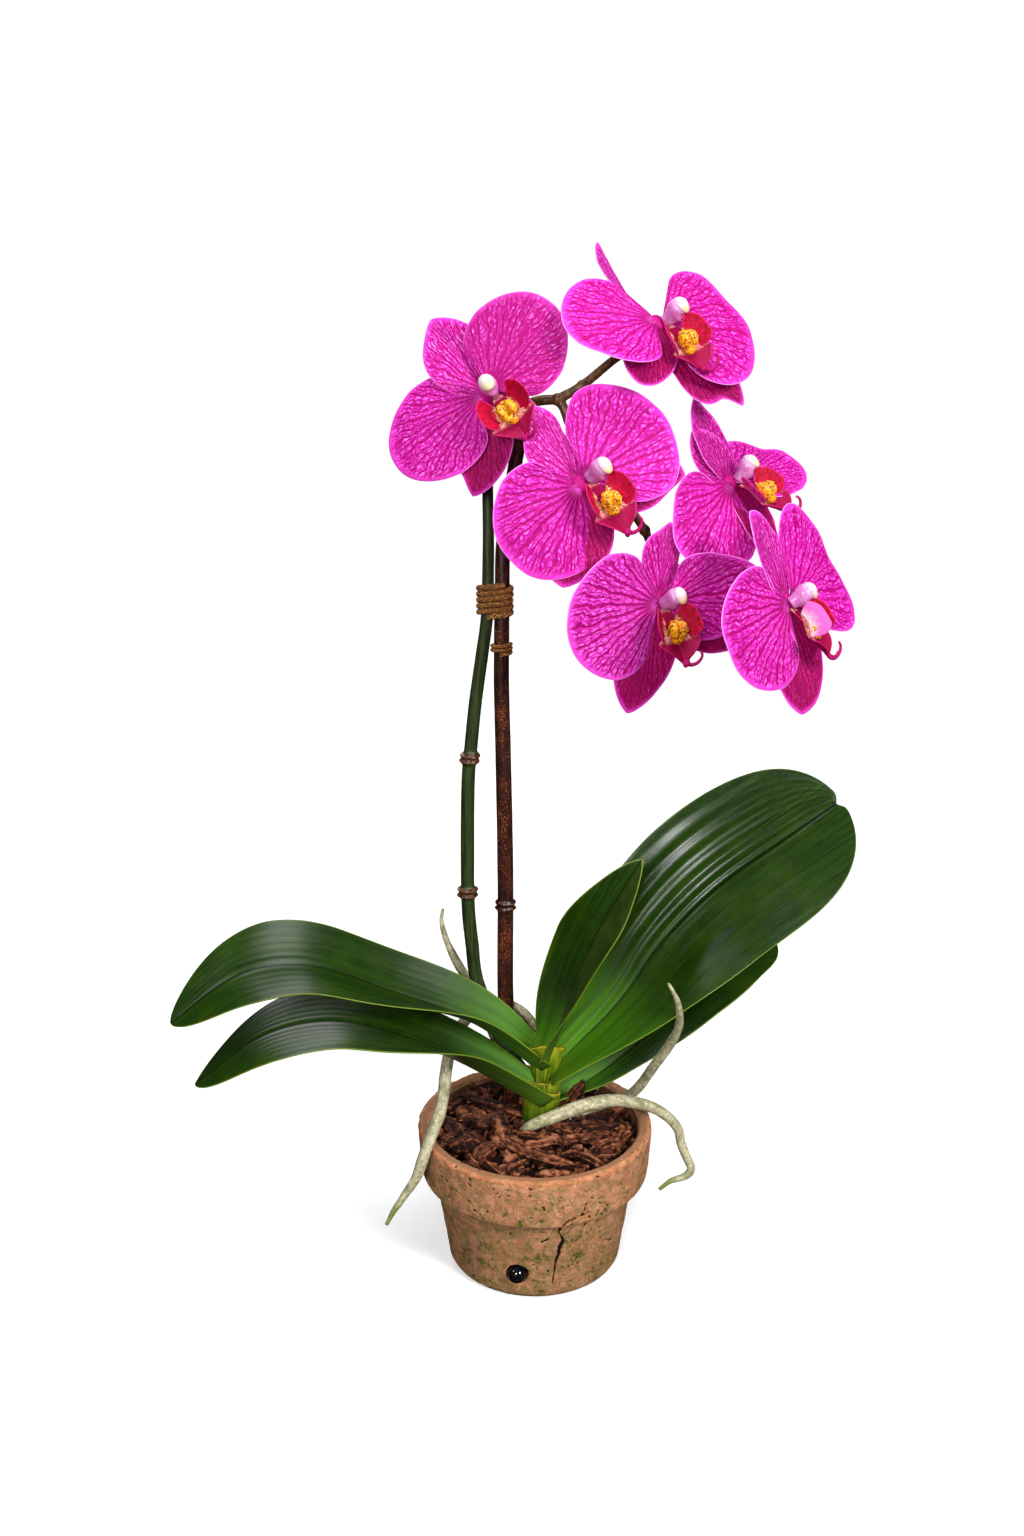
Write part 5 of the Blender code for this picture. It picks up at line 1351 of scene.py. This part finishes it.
def side_lobe(side, first_bend, more_bend):
    """A wing on the claw's flank, bent forward: its edge is set by a reach, in mm, in each direction."""
    def place(a, b):
        direction = np.radians(-35 + 113 * a)
        reach = np.interp(a, (0, 0.12, 0.31, 0.66, 0.93, 1), (6.0, 9.0, 12.0, 13.5, 13.5, 9.0))
        out = reach * np.cos(direction) * b
        y = (-17 + 10 * a) * (1 - b) + (-13.5 + reach * np.sin(direction)) * b
        start, rate = math.radians(first_bend), math.radians(more_bend) / 13
        bend = start + rate * out
        x = 3 + (np.sin(bend) - math.sin(start)) / rate
        z = 5 + (math.cos(start) - np.cos(bend)) / rate
        return side * x, y, z - 0.9 * np.sin(math.pi * b) + 0.5 * np.sin(a * 9) * b ** 3
    return place


def middle_lobe(a, b):
    v = 2 * a - 1
    half = np.where(b < 0.25, 4 + 7.5 * np.sin(np.clip(b / 0.25, 0, 1) * math.pi / 2) ** 1.3,
                    10.7 * (1 - np.clip((b - 0.25) / 0.75, 0, 1) ** 1.25) + 0.8)
    scoop = 3.6 * v * v * np.sin(math.pi * np.clip(b * 1.1, 0, 1)) ** 0.7
    groove = -0.9 * np.exp(-(v / 0.14) ** 2) * (1 - b)
    y = -15.5 - 14.0 * b + 1.5 * np.abs(v) * (b > 0)
    return v * half, y, 5.2 + 6.4 * b - 1.2 * b * b + scoop + groove


def claw(a, b):
    v = 2 * a - 1
    return v * (2.2 + 2.4 * b), -2.4 - 8.2 * b, 0.9 + 4.5 * b + 0.8 * v * v


def whisker(route):
    points, faces, _ = stem(route, (1.15, 0.85, 0.55), 10, 0.6)
    return points, faces, same(len(points), part=2, out=1, high=0, rim=1, face=1, inner=0)


lip = Finish("lip_crimson", specular=0.12)
part, inner, pale = lip.mark("part"), lip.mark("inner"), lip.mark("pale")
out_share, high = lip.mark("out"), lip.mark("high")
velvet = lip.grain(1.6, detail=4.0)
is_side = part.between(0.6, 0.4)
vein = lip.grain(1.0, at=lip.vector(out_share * 1.5, high * 9.0, part), detail=2.0)
deep_red = lip.coats(
    lip.mix(velvet.between(0.35, 0.7), (0.28, 0.0003, 0.012), (0.47, 0.001, 0.045)),
    (part.between(0.6, 0.9), lip.mix(velvet, (0.15, 0.0004, 0.022), (0.34, 0.0012, 0.060))))
pale_edge = (out_share + (velvet - 0.5) * 0.5).between(0.25, 0.75)
outside = lip.coats(
    lip.mix(velvet.between(0.3, 0.7), (0.38, 0.003, 0.09), (0.60, 0.035, 0.26)),
    (out_share.between(0.75, 0.15) * 0.7, (0.90, 0.45, 0.60)),
    (pale, lip.mix(pale_edge, (0.86, 0.66, 0.66), (0.76, 0.13, 0.50))))
bars = lip.grain(1.0, at=lip.vector(out_share * 13.0, high * 3.0, 3.0), detail=2.0, warp=0.8)
throat = (out_share + (velvet - 0.5) * 0.16).between(0.34, 0.22) * is_side
streaky = (vein * 0.5 + velvet * 0.5).between(0.42, 0.55)
pale_foot = part.between(0.75, 0.9) * part.between(1.6, 1.2) * out_share.between(0.30, 0.12)
crimson = lip.coats(
    deep_red,
    ((1 - inner) * is_side, outside),
    (vein.between(0.54, 0.68) * (0.55 - pale * 0.45), (0.10, 0.0003, 0.010)),
    (throat, lip.mix(bars.between(0.50, 0.57), (0.78, 0.36, 0.22), (0.22, 0.015, 0.008))),
    (pale_foot * (1 - streaky * 0.7), (0.80, 0.40, 0.28)),
    (lip.mark("rim").between(0.12, 0.0) * 0.5, (0.62, 0.02, 0.17)),
    (part.between(1.4, 1.9) * 0.6, (0.40, 0.006, 0.14)))
# The glow is painted light: the lip gives off light of its own colour, which lifts its shade.
lip_crimson = lip.paint(crimson, 0.52 + velvet * 0.16, velvet * 0.5 + vein * 0.6, 0.3, glow=0.15)
LIP_FRAMES = {name: lip_frame(bloom, BLOOM_FRAMES[name]) for name, bloom in BLOOMS.items()}
for name, lip_place in LIP_FRAMES.items():
    bends = SIDE_LOBE_BEND.get(name, USUAL_BEND)
    points, faces, marks = joined([
        lip_lobe(side_lobe(1, *bends), 26, 37, 0, -1), lip_lobe(side_lobe(-1, *bends), 26, 37, 0, 1),
        lip_lobe(middle_lobe, 40, 25, 1), lip_lobe(claw, 8, 9, 1), *map(whisker, WHISKERS)])
    marks["pale"] = np.full(len(points), float(name in SIDE_LOBE_BEND))
    add_piece(name + "_lip_lobes", placed(points, lip_place), faces, lip_crimson,
              [name + "_lip"], marks)


# The column: the waxy rod over the lip, white flushed with lilac, with a cream cap over its pollen at the
# end. It is a turned form that is hollowed on its underside and has a small beak. Its profile is (radius,
# how far out), from the tip back to the foot.
COLUMN_PROFILE = [(0.05, 12.6), (1.1, 12.4), (2.3, 11.7), (3.3, 10.7), (3.75, 9.5), (3.7, 8.8), (4.0, 8.0),
                  (4.15, 6.7), (3.9, 5.1), (3.3, 3.6), (2.8, 2.0), (2.6, 0.8), (2.4, -0.6)]
# How far, in degrees, a column nods, and how far all but that of bloom 1 are turned aside.
COLUMN_NOD, COLUMN_TURN = -14, 25


def make_column():
    turn = np.radians(np.arange(0, 360, 12))
    under = np.clip(-np.sin(turn), 0, 1)
    rings = []
    for r, _, z in curve_at([(r, 0, z) for r, z in COLUMN_PROFILE], np.linspace(0, 1, 44)):
        hollow = 1 - 0.34 * under ** 3 * math.exp(-((z - 7.2) / 1.9) ** 2)
        rings.append(np.stack((r * 0.96 * np.cos(turn) * hollow,
                               r * (1.05 + 0.3 * under) * np.sin(turn) * hollow, np.full(turn.shape, z)), 1))
    points = np.vstack(rings)
    beak, beak_faces = ball(2)
    beak = beak * (1.0, 1.2, 1.3) + (0, -2.9, 10.2)
    return joined([(points, tube_faces(len(rings), len(turn)), dict(tall=points[:, 2], under=-points[:, 1])),
                   (beak, beak_faces, dict(tall=np.full(len(beak), 11.5), under=-beak[:, 1]))])


wax = Finish("column_white")
tall, under = wax.mark("tall"), wax.mark("under")
blush = wax.grain(4.0, detail=3.0)
lilac_white = wax.coats(
    wax.mix(tall.between(10.8, 6.8), (0.72, 0.50, 0.66), (0.52, 0.14, 0.42)),
    (blush.between(0.45, 0.65) * 0.5, (0.70, 0.36, 0.62)),
    (tall.between(10.6, 11.8) * 0.8, (0.76, 0.66, 0.68)),
    (tall.between(9.0, 10.2) * under.between(0.8, 2.2), (0.82, 0.62, 0.36)))
column_white = wax.paint(lilac_white, 0.25 + blush * 0.12, blush, 0.1)
set_inputs(wax.shader, {"Subsurface Weight": 0.2, "Subsurface Scale": 0.003})
points, faces, marks = make_column()
for name, lip_place in LIP_FRAMES.items():
    aside = 0 if name == "bloom_1" else COLUMN_TURN
    stand = turned(lip_place @ Matrix.Translation((0, 0.2, 2.1)), (aside, "Y"), (COLUMN_NOD, "X"))
    add_piece(name + "_waxy_column", placed(points, stand), faces, column_white,
              [name + "_column"], marks)


# The callus: the golden, two-lobed, red-spotted crest between the side lobes. Two tall lobes and two low ones
# are fused into one skin, which is then made lumpy, and it stands where the claw meets the middle lobe. Each
# lobe is given by its centre and its radii.
CALLUS_LOBES = (((-2.4, -12.6, 9.8), (2.2, 3.9, 3.2)), ((2.4, -12.6, 9.8), (2.2, 3.9, 3.2)),
                ((0, -16.8, 8.2), (3.0, 2.6, 2.0)), ((0, -10.6, 8.4), (3.2, 2.8, 2.2)))
CALLUS_CENTRE = (0, -13.0, 8.0)
CALLUS_VOXEL, CALLUS_SMOOTHING = 0.45, 1


def make_callus():
    lobes = [(round_points * radii + centre, round_faces) for centre, radii in CALLUS_LOBES]
    points, faces = fused("callus", lobes, CALLUS_VOXEL, CALLUS_SMOOTHING)
    outward = unit(points - CALLUS_CENTRE)
    return points + outward * (lumps(points, 1.5) * 0.55 + lumps(points, 0.7, 1) * 0.2)[:, None], faces


crest = Finish("callus_yellow")
freckled = crest.grain(1.9, detail=1.0).between(0.40, 0.52)
spots = crest.cells(1.3, feature="F1").between(0.48, 0.38) * freckled
gold = crest.mix(crest.grain(2.2, detail=3.0).between(0.35, 0.65), (0.74, 0.22, 0.002), (0.90, 0.44, 0.008))
callus_yellow = crest.paint(crest.mix(spots * 0.9, gold, (0.14, 0.008, 0.003)), 0.35 + spots * 0.2,
                            crest.grain(0.8, detail=3.0), 0.25)
points, faces = make_callus()
for name, lip_place in LIP_FRAMES.items():
    add_piece(name + "_golden_callus", placed(points, lip_place), faces, callus_yellow,
              [name + "_callus"])
